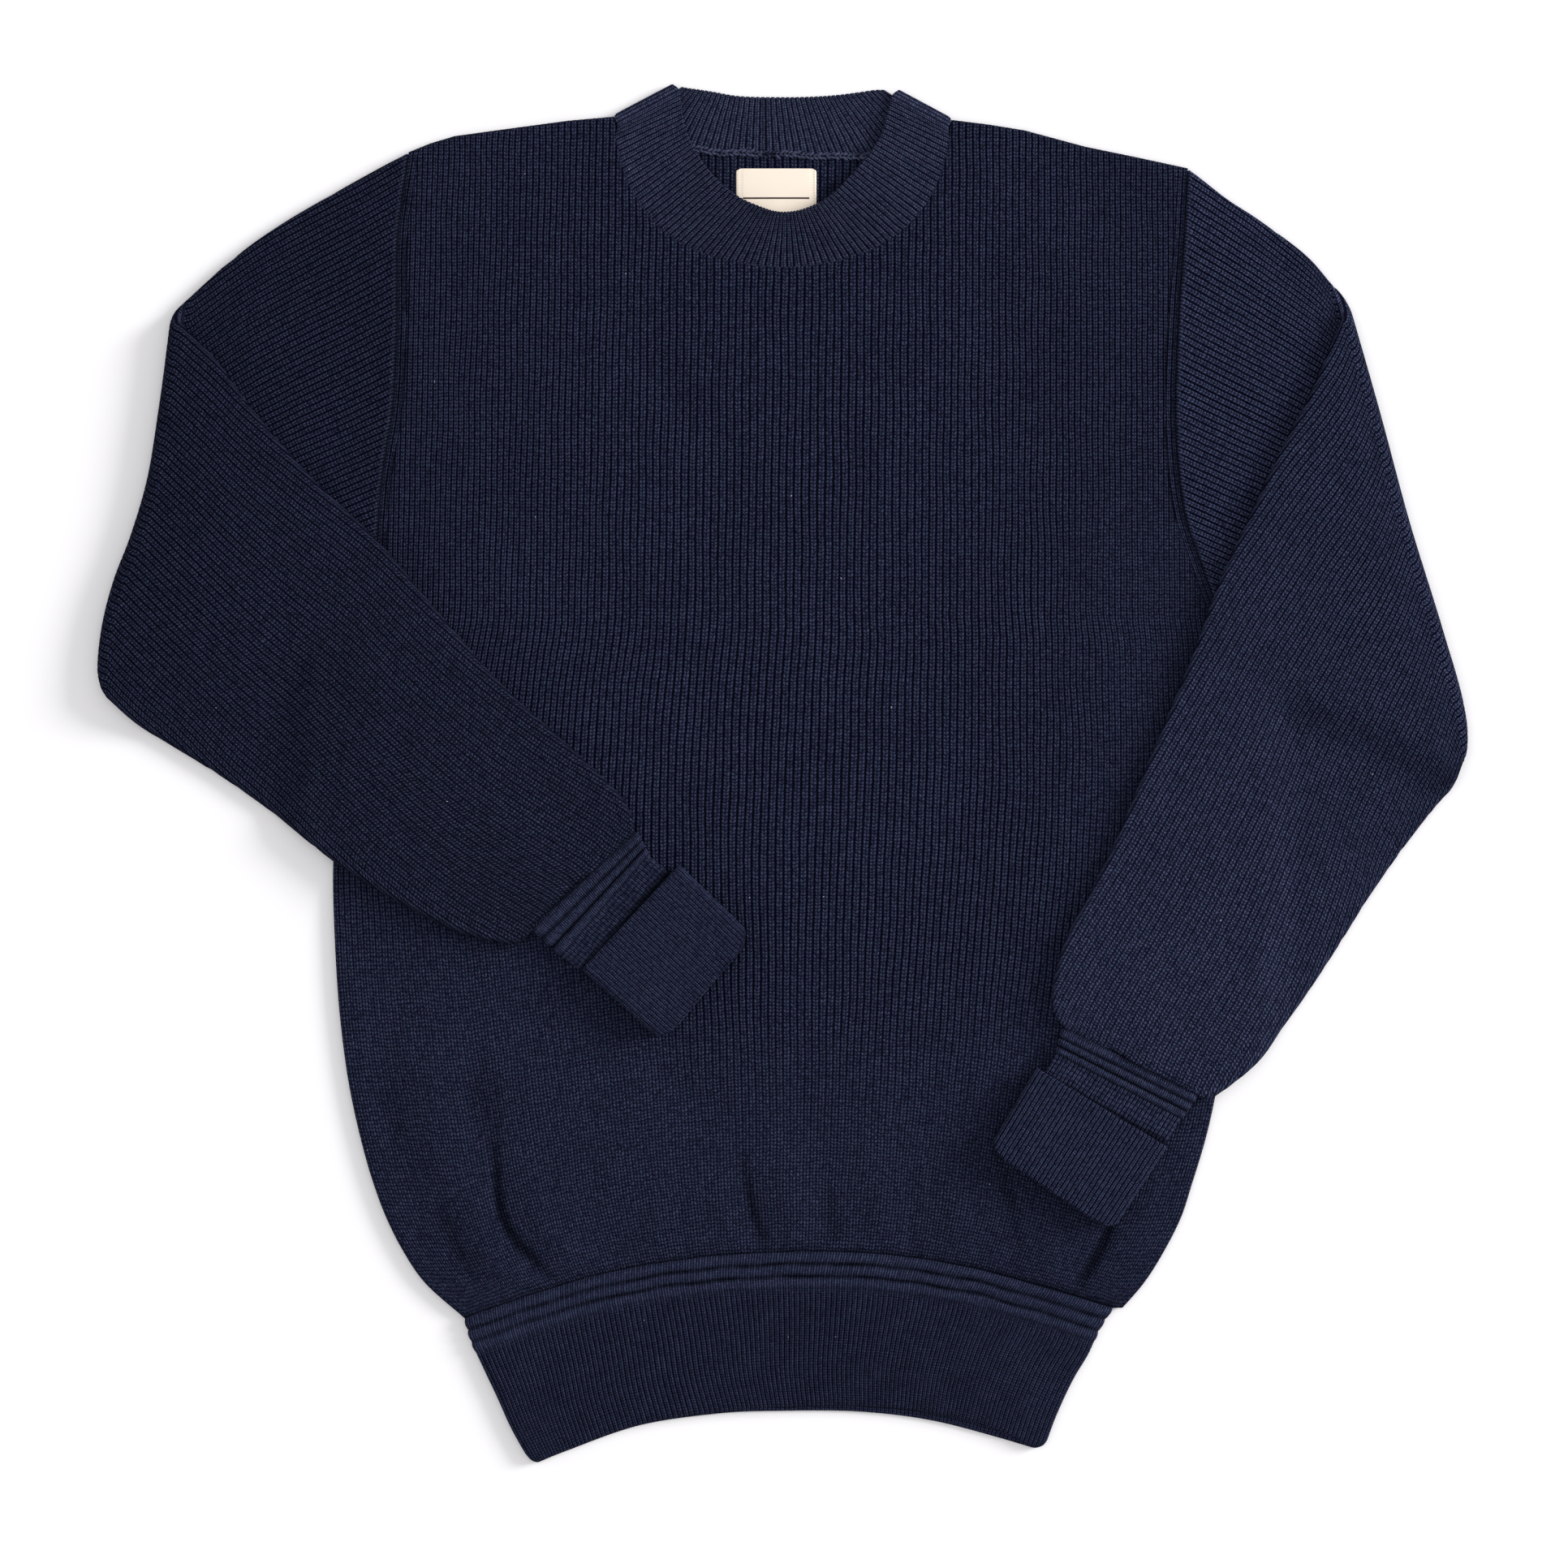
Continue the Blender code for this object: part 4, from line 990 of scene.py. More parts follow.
def rib_x(count, y):
    """Where a rib lies at a height: the ribs run straight up from the pits, and end on the selvedge at the armholes."""
    left, right = side_x(y, False), side_x(y, True)
    low = np.minimum(y, PIT_Y)
    low_left, low_right = side_x(low, False), side_x(low, True)
    above = np.maximum(y - PIT_Y, 0)
    wide = low_right - low_left - 0.03 * above
    middle = (low_left + low_right) / 2 + 0.0104 * above
    share = count / BODY_RIBS - 0.5
    # the ribs lie closer at the sides, less so down at the gathers
    uneven = 0.07 + 0.13 * smooth((y - float(my(1400))) / 230)
    pitch = wide / BODY_RIBS * (1 - uneven)
    x = middle + wide * (share + uneven * np.sin(2 * math.pi * share) / (2 * math.pi))
    first = left + np.minimum(count, SELVEDGE) * pitch
    last = right - np.minimum(BODY_RIBS - count, SELVEDGE) * pitch
    drawn_in = ((x < first - 1e-6) & (count > SELVEDGE)) | ((x > last + 1e-6) & (count < BODY_RIBS - SELVEDGE))
    return np.clip(x, first, last), drawn_in


def rib_plan(count, v, back):
    """Plan places of the ribs at shares of the way up, and which of them end on the selvedge there."""
    column = 2 if back else 1
    low_y, high_y = np.full(count.shape, float(my(1560))), np.full(count.shape, float(my(170)))
    for _ in range(24):
        low_y = hem_y(rib_x(count, low_y)[0])
        high_y = 0.5 * high_y + 0.5 * np.interp(rib_x(count, high_y)[0], mx(TOP[:, 0]), my(TOP[:, column]))
    y = low_y[None, :] + v[:, None] * (high_y - low_y)[None, :]
    x, drawn_in = rib_x(np.broadcast_to(count, y.shape), y)
    return np.stack([x, y], axis=-1), drawn_in


def body_open(places):
    """How far the ribs stand apart: they close up towards the gathers of the hem and beside the left forearm."""
    above = places[..., 1] - hem_y(places[..., 0])
    off = places[..., 0] - 20.0
    above = above - np.where(off < 0, 125.0, 70.0) * smooth((np.abs(off) - 40) / 130)
    beside = 0.55 * smooth((places[..., 0] - 135) / 60) * smooth((200 - places[..., 1]) / 90)
    return 0.06 + 0.94 * smooth((above - 45) / 130) * (1 - beside)


def body_relief(places, ribs):
    """How deep the ribs are: less where they are drawn together, and uneven from rib to rib."""
    own = 0.88 + 0.12 * np.sin(np.floor(ribs) * 12.9898) * np.cos(np.floor(ribs) * 4.1)
    return RIB_DEPTH * own * (0.92 + 0.12 * wobble(places[..., 0], places[..., 1], 90, 5)) * (0.3 + 0.7 * body_open(places))


def body_courses(places):
    x, y = places[..., 0], places[..., 1]
    above = y - hem_y(x)
    return (y - (hem_y(x) - hem_y(0.0)) * np.clip(1 - above / 350, 0, 1)) / COURSE


def wander_x(places, seed, amount=0.3):
    """Ribs never run quite straight."""
    shift = amount * wobble(places[..., 0], places[..., 1], 45, seed)
    return places + np.stack([shift, np.zeros_like(shift)], axis=-1)


def add_front():
    ribs = rib_columns(BODY_RIBS, BODY_PHASES)
    v = np.concatenate([np.linspace(0, 0.16, 30)[:-1], np.linspace(0.16, 0.955, 62)[:-1], np.linspace(0.955, 1, 12)])
    plan, drawn_in = rib_plan(ribs, v, False)
    uu, vv = np.meshgrid(ribs / BODY_RIBS, v)
    width, height = 450.0, 650.0
    x, y = plan[..., 0], plan[..., 1]
    across = np.minimum(x - side_x(y, False), side_x(y, True) - x)
    inset = np.minimum(across, (1 - vv) * height)
    calm = smooth(across / 12) * smooth((1 - vv) * height / 12) * smooth(vv * height / 12)
    held = smooth((across - 6) / 25)
    plan = plan + (wander_x(plan, 3) - plan) * (calm * held)[..., None]
    x, y = plan[..., 0], plan[..., 1]
    loft = body_loft(x, y)
    folds = folds_at(FRONT_FOLDS, x, y) + 0.35 * wobble(x, y, 70, 11) * calm
    # creased marks the troughs of the folds, where painted shade darkens the knit
    creased = np.clip((-folds - 0.5) / 3.4, 0, 0.62)
    low = WALL + GAP + loft + np.minimum(folds * 0.5 * calm, loft) * 0.5
    low = np.maximum(low, WALL + GAP)
    by_neck = (x > mx(LEFT_NECK[0]) + 0.5) & (x < mx(RIGHT_NECK[0]) - 0.5)
    at_side = np.minimum(rounded(across, 11.0), rounded((1 - vv) * height))
    edge = np.where(by_neck, np.maximum(rounded(inset), 0.72), at_side)
    top = WALL + GAP + loft + WALL * edge + folds * np.clip(0.25 + calm, 0, 1)
    # the cloth dips into the hem's seam
    top = top - 1.4 * np.exp(-((vv * height / 2.6) ** 2))
    base = np.concatenate([plan, top[..., None]], axis=-1)
    relief = body_relief(plan, ribs[None, :]) * (0.35 + 0.65 * edge_share(inset, 2.5))
    profile = np.where(drawn_in, -0.75, rib_profile(ribs)[None, :])
    upper = base + normals_of(base) * (relief * profile)[..., None]
    upper[..., 2] = np.maximum(upper[..., 2], low + 0.7)
    lower = np.concatenate([plan, low[..., None]], axis=-1)[:, :: len(BODY_PHASES)]
    return panel(
        "front",
        BODY_KNIT,
        upper,
        lower,
        ribs,
        len(BODY_PHASES),
        body_courses(plan),
        open_share=body_open(plan),
        # painted shade: darker in the dip at the hem's seam and in the creases
        painted_shade_and_join=np.maximum(0.25 * np.exp(-((vv * height / 1.8) ** 2)), creased),
    )


def add_back():
    phases = FINE_PHASES
    ribs = rib_columns(BODY_RIBS, phases)
    v = np.concatenate([np.linspace(0, 0.93, 56)[:-1], np.linspace(0.93, 1, 18)])
    plan, drawn_in = rib_plan(ribs, v, True)
    uu, vv = np.meshgrid(ribs / BODY_RIBS, v)
    x, y = plan[..., 0], plan[..., 1]
    across = np.minimum(x - side_x(y, False), side_x(y, True) - x)
    inset = np.minimum(across, (1 - vv) * 650.0)
    share = rounded(inset)
    profile = np.where(drawn_in, -1.0, rib_profile(ribs, 0.05)[None, :])
    relief = 0.8 * RIB_DEPTH * profile * (0.3 + 0.7 * edge_share(inset, 3))
    top = WALL + relief * 0.75
    low = WALL - WALL * share - relief
    low = np.minimum(low, top - 0.7)
    upper = np.concatenate([plan, top[..., None]], axis=-1)
    lower = np.concatenate([plan, low[..., None]], axis=-1)
    return panel(
        "back",
        BODY_KNIT,
        upper,
        lower,
        ribs,
        len(phases),
        body_courses(plan),
        len(phases),
        body_courses(plan),
        open_share=body_open(plan),
    )


# ---------------------------------------------------------------- hem


def welt_shape(t):
    """The ridges of the welt, round on top with sharp grooves between them, for t from 0 to 1."""
    t = np.clip(t, 0, 1)
    return np.abs(np.sin(math.pi * WELTS * t)) ** 0.62


def welt_groove(t):
    """1 in the grooves of the welt and 0 on its ridges."""
    t = np.asarray(t) * WELTS
    near = np.abs((t + 0.5) % 1.0 - 0.5)
    at_end = (t < 0.5) | (t > WELTS - 0.5)
    return np.exp(-((near / 0.14) ** 2)) * np.where(at_end, 0.35, 1.0) * (t < WELTS + 0.4)


def round_corner(a, b, radius):
    """Moves places in a square corner, a and b in from its two edges, into a round one."""
    p, q = np.clip((radius - a) / radius, 0, 1), np.clip((radius - b) / radius, 0, 1)
    return a + radius * p * (1 - np.sqrt(1 - q * q / 2)), b + radius * q * (1 - np.sqrt(1 - p * p / 2))


def add_hem(name, back):
    phases = FINE_PHASES
    ribs = rib_columns(HEM_RIBS, phases)
    width, height, reach = 330.0, 84.0, 20.4
    d = np.concatenate(
        [[-0.5], np.linspace(0.0, reach, 12 * WELTS + 1)[:-1], np.linspace(reach, height - 3, 22)[:-1], np.linspace(height - 3, height, 7)]
    )
    if back:
        d = np.concatenate([[-0.5], np.linspace(0.3, reach, 20)[:-1], np.linspace(reach, height - 3, 10)[:-1], np.linspace(height - 3, height, 5)])
    even = ribs / HEM_RIBS
    uu, dd = np.meshgrid(even + 0.087 * np.sin(2 * math.pi * (even - 0.5)) / (2 * math.pi), d)
    inner, up = np.minimum(uu, 1 - uu) * width, height - dd
    inner2, up2 = round_corner(inner, up, 7.0)
    u2 = np.where(uu < 0.5, inner2, width - inner2) / width
    plan = hem_plan(u2, (height - up2) / height, back)
    # the ridges of the welt stand out at the sides
    plan[..., 0] += np.where(uu < 0.5, -1, 1) * 1.2 * (welt_shape(dd / reach) - 0.5) * ((dd > 0) & (dd < reach)) * np.exp(-((inner / 2.5) ** 2))
    x, y = plan[..., 0], plan[..., 1]
    across = inner
    share = rounded(across)
    profile = rib_profile(ribs, 0.0)[None, :]
    ribbed = smooth((dd - reach + 1.0) / 3.0)
    ridges = 1 - smooth((dd - reach) / 1.5)
    if back:
        low = WALL - WALL * share - FINE_DEPTH * profile * share * ribbed
        low = low + 0.9 * (1 - welt_shape(dd / reach)) * ridges * share * (dd > 0)
        bottom_edge = edge_share(height - dd, 2.6)
        low = WALL / 2 + (low - WALL / 2) * (0.3 + 0.7 * bottom_edge)
        top = WALL / 2 + WALL / 2 * (0.3 + 0.7 * bottom_edge)
        upper = np.concatenate([plan, top[..., None]], axis=-1)
        lower = np.concatenate([plan, low[..., None]], axis=-1)
        return panel(
            name, HEM_RIBBING, upper, lower, ribs, len(phases), -dd / FINE_COURSE, len(phases), -dd / FINE_COURSE, welt=ridges
        )
    seam = body_loft(x, hem_y(x) + 0.01)
    vv = dd / height
    low = WALL + GAP + seam * (1 - smooth(vv / 0.3)) + 0.5 * ramp(across, 30) * smooth(vv / 0.3)
    folds = folds_at(HEM_FOLDS, x, y) + 0.3 * wobble(x, y, 60, 21)
    folds = folds * smooth(across / 10) * smooth((height - dd) / 8)
    end = 0.25 + 0.75 * edge_share(height - dd, 2.8)
    wall = RIB_WALL + 0.3
    top = low + wall * share * end + folds * ribbed
    wave = 1.0 + 0.16 * wobble(x, y, 26, 31)
    # the grooves waver, and are darkest in the middle
    waver = np.clip(dd, 0, reach) + 0.45 * wobble(x, 0 * y, 30, 33) * np.sin(math.pi * np.clip(dd / reach, 0, 1))
    uneven = np.clip(0.82 + 0.22 * wobble(x, 3 * y, 22, 35), 0.35, 1.0) * (0.7 + 0.3 * ramp(across, 60))
    floor_of = 0.45 * (1 - welt_groove(waver / reach)) * ((dd < 3.4) | (dd > reach - 3.4))
    shape = np.maximum(welt_shape(waver / reach), floor_of) * wave
    top = top + WELT * (shape - 0.62) * ridges * (0.4 + 0.6 * edge_share(across, 5.0))
    base = np.concatenate([plan, top[..., None]], axis=-1)
    # loops of the welt: small scallops along its ridges
    loops = -0.35 * (1 - np.abs(np.sin(math.pi * ribs)))[None, :] * ridges
    relief = FINE_DEPTH * profile * ribbed * share + loops
    normal = normals_of(base)
    if normal[50, 100, 2] < 0:
        normal = -normal
    upper = base + normal * relief[..., None]
    upper[..., 2] = np.maximum(upper[..., 2], low + 0.5)
    lower = np.concatenate([plan, low[..., None]], axis=-1)[:, :: len(phases)]
    return panel(
        name,
        HEM_RIBBING,
        upper,
        lower,
        ribs,
        len(phases),
        -dd / FINE_COURSE,
        open_share=0.75 * (1 - ridges),
        welt=0.85 * ridges,
        # painted shade: darker in the welt's grooves, and a darker line along the first rib at the band's left end
        painted_shade_and_join=np.maximum(0.95 * uneven * welt_groove(waver / reach), 0.6 * np.exp(-(((ribs - 1.4) / 0.35) ** 2))[None, :] * ribbed),
    )


# ---------------------------------------------------------------- sleeves


def tube_columns(ribs, phases):
    """Rib counts round a flattened tube: up one side and back along the other. The last is left out, as it meets the first."""
    return rib_columns(2 * ribs, phases)[:-1]


def tube_places(count, ribs):
    """Share across the tube, and which side: 1 for the first, -1 for the other."""
    t = count / ribs
    return np.where(t <= 1, t, 2 - t), np.where(t <= 1, 1.0, -1.0)


def sleeve_surface(sleeve, s, side, depth, rows):
    """Rows of places along the sleeve for columns at shares s on a side, depth millimetres in from the outer face.
    side 1 is the layer that is on top in the upper sleeve, and below in the forearm."""
    upper_u, turns, fore_u = rows
    grid = []

    def insets(span):
        return depth + s * (span - 2 * depth)

    def share_of(span):
        inner = insets(span)
        return edge_share(np.minimum(inner, span - inner) - depth, EDGE if depth == 0 else 3.0)

    for k, u in enumerate(upper_u):
        ends = sleeve.upper_plan(np.array([u, u]), np.array([0.0, 1.0]))
        span = float(np.linalg.norm(ends[1] - ends[0]))
        inner = insets(span)
        places = sleeve.upper_plan(u, inner / span)
        top = FLAT + sleeve.puff(places) * ramp(np.minimum(inner, span - inner), 25)
        mid, half = (top - depth + depth) / 2, (top - 2 * depth) / 2
        if k == 0:
            places = places + np.array([-1.1 if sleeve.right else 1.1, 0.0])
            half = half - 0.5
        grid.append(np.concatenate([places, (mid + side * half * share_of(span))[:, None]], axis=1))
    span = float(np.linalg.norm(sleeve.fold_b - sleeve.fold_a))
    inner = insets(span)
    axis = sleeve.fold(inner / span, AXIS)
    arm = AXIS - (FLAT / 2 + side * (FLAT / 2 - depth) * share_of(span))
    for turn in turns:
        angle = math.radians(turn)
        turned = (1 - math.cos(angle)) / 2
        slid = sleeve.slide(inner / span, "upper") * (1 - turned) + sleeve.slide(inner / span, "fore") * turned
        place = axis + slid + sleeve.out * (arm * math.sin(angle) * sleeve.rounding(inner / span))[:, None]
        grid.append(np.concatenate([place, (AXIS - arm * math.cos(angle))[:, None]], axis=1))
    for u in fore_u:
        ends = sleeve.fore_plan(np.array([u, u]), np.array([0.0, 1.0]))
        span = float(np.linalg.norm(ends[1] - ends[0]))
        inner = insets(span)
        places = sleeve.fore_plan(u, inner / span)
        near = smooth(u / 0.06)
        base = (FLAT + LIE) * (1 - near) + rest_z(places) * near
        top = base + FLAT + 0.8 * near * ramp(np.minimum(inner, span - inner), 25)
        mid, half = (top + base) / 2, (top - base - 2 * depth) / 2
        grid.append(np.concatenate([places, (mid - side * half * share_of(span))[:, None]], axis=1))
    return np.array(grid)


def add_sleeve(name, sleeve, surface, folds):
    rows = (
        np.concatenate([[0.0, 0.005, 0.011, 0.018, 0.028, 0.042], np.linspace(0.06, 1.0, 29)[:-1]]),
        np.linspace(0, 180, 11),
        np.concatenate([[0.012, 0.03], np.linspace(0.05, 0.96, 54), [0.975, 0.99, 1.0]]),
    )
    first_fore = len(rows[0]) + len(rows[1])
    count = tube_columns(SLEEVE_RIBS, BODY_PHASES)
    s, side = tube_places(count, SLEEVE_RIBS)
    base = sleeve_surface(sleeve, s, side, 0.0, rows)
    run = np.arange(len(base))[:, None]
    fore = smooth((run - first_fore - 2) / 5.0)
    # folds show on the forearm's upper side, which is side -1, and on the upper sleeve's side 1
    x, y = base[..., 0], base[..., 1]
    edge = smooth(np.minimum(s, 1 - s) * 14)[None, :]
    swell = folds_at(folds, x, y) + 0.45 * wobble(x, y, 75, 41 + sleeve.right)
    end = smooth((len(base) - 1 - run) / 4.0)
    base[..., 2] += np.where(side[None, :] < 0, swell * fore * edge * end, 0.0)
    upper_part = smooth(run / 4.0) * (1 - smooth((run - len(rows[0]) * 0.7) / 4.0))
    base[..., 2] += np.where(side[None, :] > 0, 0.4 * wobble(x, y, 50, 47 + sleeve.right) * upper_part * edge, 0.0)
    normal = normals_of(base, wrap_columns=True)
    if normal[len(base) - 20, int(len(count) * 0.75), 2] < 0:
        normal = -normal
    # the ribs keep their pitch: where the sleeve narrows they run out at its two edges
    spans = np.linalg.norm(base[:, int(np.argmax(count >= SLEEVE_RIBS)), :2] - base[:, 0, :2], axis=1)
    spans[len(rows[0]) : first_fore] = np.linalg.norm(sleeve.fold_b - sleeve.fold_a)
    fewer = np.clip(spans / (SLEEVE_RIBS * RIB_PITCH), 0.3, 1.2)[:, None]
    centre = np.where(side > 0, 0.5, 1.5)[None, :] * SLEEVE_RIBS
    laid = centre + (count[None, :] - centre) * fewer
    own = 0.85 + 0.15 * np.sin(np.floor(laid) * 7.3)
    relief = RIB_DEPTH * 0.9 * own * rib_profile(laid)
    hidden = (side[None, :] > 0) & (run > len(rows[0]) - 3) & (run < first_fore + 4)
    relief = np.where(hidden, 0.0, relief)
    far = np.concatenate([np.zeros(first_fore), rows[2]])[:, None]
    apart = 0.55 + 0.45 * (1 - smooth((run - len(rows[0]) + 4) / 8.0)) + 0.34 * smooth((run - len(rows[0]) + 4) / 8.0) * (
        1 - smooth((far - 0.04) / 0.4)
    )
    apart = apart - 0.28 * smooth((far - 0.45) / 0.45)
    relief = relief * (0.22 + 0.78 * apart)
    # both ends dip into their seams
    lead = np.concatenate([np.linalg.norm(np.diff(base, axis=0), axis=2), np.zeros((1, len(count)))])
    along = np.concatenate([np.zeros((1, len(count))), np.cumsum(lead[:-1], axis=0)])
    total = along[-1][None, :]
    # the stitches next to the armhole run along it
    plain = 1 - smooth((along - 1.8) / 2.2)
    relief = relief * (1 - plain) - 0.25 * plain * (1 - np.abs(np.sin(math.pi * laid)))
    dip = -1.5 * np.exp(-((along / 1.3) ** 2)) - 1.5 * np.exp(-(((total - along) / 3.4) ** 2))
    # painted shade in the dip at the armhole seam
    painted_shade_and_join = 0.9 * np.exp(-((along / 1.0) ** 2))
    outer = base + normal * (relief + dip)[..., None]
    outer[..., 2] = np.maximum(outer[..., 2], 0.02)
    # courses run square to the ribs
    start = base[0, :, :2]
    way = base[6, :, :2] - base[0, :, :2]
    way = way.mean(axis=0) / np.linalg.norm(way.mean(axis=0))
    courses = -(along + (start @ way)[None, :]) / COURSE
    per = len(BODY_PHASES)
    inner_count = np.arange(2 * SLEEVE_RIBS)
    si, side_i = tube_places(inner_count.astype(float), SLEEVE_RIBS)
    inner = sleeve_surface(sleeve, si, side_i, WALL, rows)
    shell = Shell()
    out_index = shell.add(outer, apart * (1 - plain), 0.8 * plain, painted_shade_and_join)
    in_index = shell.add(inner, apart[:, :1])
    out_index = np.concatenate([out_index, out_index[:, :1]], axis=1)
    in_index = np.concatenate([in_index, in_index[:, :1]], axis=1)
    ribs = np.concatenate([laid, 1.5 * SLEEVE_RIBS + 0.5 * SLEEVE_RIBS * fewer], axis=1)
    courses = np.concatenate([courses, courses[:, :1]], axis=1)
    flip = facing(outer, inner)
    shell.quads(out_index, ribs, courses, flip)
    shell.quads(in_index, ribs[:, ::per], courses[:, ::per], not flip)
    shell.strip(out_index[0], in_index[0], per, ribs[0], float(courses[0].mean()), flip)
    shell.strip(out_index[-1], in_index[-1], per, ribs[-1], float(courses[-1].mean()), not flip)
    return shell.build(name, surface, name)


def facing(outer, inner):
    """Whether the plain order of corners faces in, judged where the tube is widest."""
    row = len(outer) // 4
    a = outer[row]
    n = np.cross(np.roll(a, -1, axis=0) - a, outer[row + 1] - a)
    away = a - a.mean(axis=0)
    return float((n * away).sum()) < 0


# ---------------------------------------------------------------- cuffs


def add_cuff(name, surface, table, turned, apart):
    table, turned = np.array(table, float), np.array(turned, float)
    a, b = xy(table[:, 0], table[:, 1]), xy(table[:, 2], table[:, 3])
    ta, tb = xy(turned[:, 0], turned[:, 1]), xy(turned[:, 2], turned[:, 3])
    double = 2 * RIB_WALL + GAP
    full = 2 * double + EASE
    axis = (ta[1] + tb[1] - ta[0] - tb[0]) / 2
    length = float(np.linalg.norm(axis))
    axis = axis / length
    radius = double / 2
    count = tube_columns(CUFF_RIBS, FINE_PHASES)
    s, side = tube_places(count, CUFF_RIBS)
    rings, relief, run, painted_shade_and_join, welt = [], [], [], [], []

    def ring(one, two, level, bump=0.0, rib=0.0, at=0.0, dark=0.0, drawn=0.0, corner=0.0):
        span = float(np.linalg.norm(two - one))
        # close columns where the edges round over
        share = 0.5 - 0.5 * np.cos(math.pi * s) * (0.35 + 0.65 * np.abs(np.cos(math.pi * s)) ** 0.5)
        share = 0.45 * s + 0.55 * (0.5 - 0.5 * np.cos(math.pi * s)) if span < 1 else s
        places = one + share[:, None] * (two - one)
        centre = (one + two) / 2
        rise = smooth(float((centre - (a[1] + b[1]) / 2) @ axis) / 14)
        middle = rest_z(places) + (1 - rise) * FLAT / 2 + rise * full / 2
        half = EASE / 2 + level
        inset = np.minimum(share, 1 - share) * span
        mid_share = edge_share(inset, min(EDGE, half + 0.6))
        z = middle + side * (half + np.where(side > 0, bump, 0.0)) * mid_share
        rings.append(np.concatenate([places, z[:, None]], axis=1))
        if corner:
            # the far corners are round
            q = np.clip(1 - inset / corner, 0, 1)
            rings[-1][:, :2] -= (axis * corner * 0.55)[None, :] * (1 - np.sqrt(1 - q * q))[:, None]
        relief.append(rib)
        run.append(at)
        painted_shade_and_join.append(dark)
        welt.append(drawn)

    def widened(one, two, by):
        way = (two - one) / np.linalg.norm(two - one)
        return one - way * by, two + way * by

    def between(p, q, t):
        return p + (q - p) * t

    far_in = widened(a[3], b[3], -RIB_WALL - 0.5)
    back_off = axis * radius
    for i in (0, 1, 2):
        ring(*widened(a[i], b[i], -RIB_WALL - 0.5), 0.0)
    ring(far_in[0] - back_off, far_in[1] - back_off, 0.0)
    turn_list = (25, 50, 70, 90, 110, 130, 155)
    for turn in turn_list:
        angle = math.radians(turn)
        share = (1 - math.cos(angle)) / 2
        one = far_in[0] * (1 - share) + ta[1] * share
        two = far_in[1] * (1 - share) + tb[1] * share
        off = axis * radius * (1 - math.sin(angle))
        ring(one - off, two - off, radius * (1 - math.cos(angle)), 0.0, 0.6 + 0.9 * share, -share * 4, corner=13.0)
    faces = 26
    for k in range(faces + 1):
        t = k / faces
        one = between(ta[1] - back_off, ta[0] + axis * 1.6, t)
        two = between(tb[1] - back_off, tb[0] + axis * 1.6, t)
        swell = 0.5 * math.sin(math.pi * t) + 0.5 * smooth((t - 0.8) / 0.2)
        ring(one, two, double + swell, 0.0, 1.0 + 0.5 * max(0.0, 1 - t * 8), -4 - t * length, corner=13.0 * max(0.0, 1 - t * 4))
    for angle in (30, 60, 90, 120, 150):
        angle = math.radians(angle)
        off = 1.6 * (1 - math.sin(angle)) * axis
        drop = RIB_WALL / 2 * (1 - math.cos(angle))
        by = -drop
        lifted = 0.5 * (1 - drop / RIB_WALL)
        # painted shade: the turned edge darkens as it rolls under, and the band at its foot is dark
        ring(*widened(ta[0] + off, tb[0] + off, by * 0.9), double - drop + lifted, 0.0, 0.6, -5 - length - drop, 0.5 * drop / RIB_WALL)
    ring(*widened(ta[0] + axis * 1.4, tb[0] + axis * 1.4, -RIB_WALL - 0.2), RIB_WALL + GAP, dark=0.9)
    tight = widened(a[3], b[3], 0.55)
    ring(tight[0] - axis * (radius + 0.6), tight[1] - axis * (radius + 0.6), RIB_WALL + GAP, dark=0.9)
    ring(a[3] - axis * (radius + 1.2), b[3] - axis * (radius + 1.2), RIB_WALL, dark=0.9)
    # the plain band: in the dark under the turned edge, then clear of it
    hidden_end, clear_end = between(a[3], a[1], 0.5), a[1]
    for t in (0.3, 0.6, 0.7, 0.76, 0.8, 0.84, 0.88, 0.94, 1.0):
        one, two = between(a[3] - axis * (radius + 1.2), a[1], t), between(b[3] - axis * (radius + 1.2), b[1], t)
        gap_to_edge = float((ta[0] + tb[0] - one - two) / 2 @ axis)
        shade = 0.9 if gap_to_edge < 0.3 else 0.9 * math.exp(-(((gap_to_edge - 0.3) / 1.6) ** 2))
        ring(one, two, RIB_WALL, 0.0, 0.8, -60 - t * 30, shade)
    welt_rows = 10 * WELTS
    for k in range(1, welt_rows + 1):
        t = 1 - k / welt_rows
        shape = max(float(welt_shape(t)), 0.6 * float(smooth((0.16 - t) / 0.16)))
        bump = 0.9 * WELT * (shape - 0.4)
        one, two = between(a[0], a[1], t), between(b[0], b[1], t)
        # painted shade in the grooves between the ridges, weaker near the sewn edge
        closed = float(np.interp(t * WELTS, (0, 0.5, 1, 1.5, 2, 3), (0.3, 0.4, 0.6, 0.8, 0.95, 0.95)))
        near = abs((t * WELTS + 0.5) % 1.0 - 0.5)
        ring(*widened(one, two, bump * 0.5), RIB_WALL, bump, 0.0, -95 - (1 - t) * 14, closed * math.exp(-((near / 0.15) ** 2)), 0.9)
    # the sewn edge goes in under the sleeve's end
    ring(*widened(a[0] - axis * 1.5, b[0] - axis * 1.5, -0.8), RIB_WALL - 1.6, 0.0, 0.0, -110)
    base = np.array(rings)
    normal = normals_of(base, wrap_columns=True)
    mid = 4 + len(turn_list) + faces // 2
    if normal[mid, len(count) // 4, 2] < 0:
        normal = -normal
    depth = np.array(relief)[:, None] * FINE_DEPTH * 0.85 * rib_profile(count, 0.0)[None, :]
    outer = base + normal * depth[..., None]
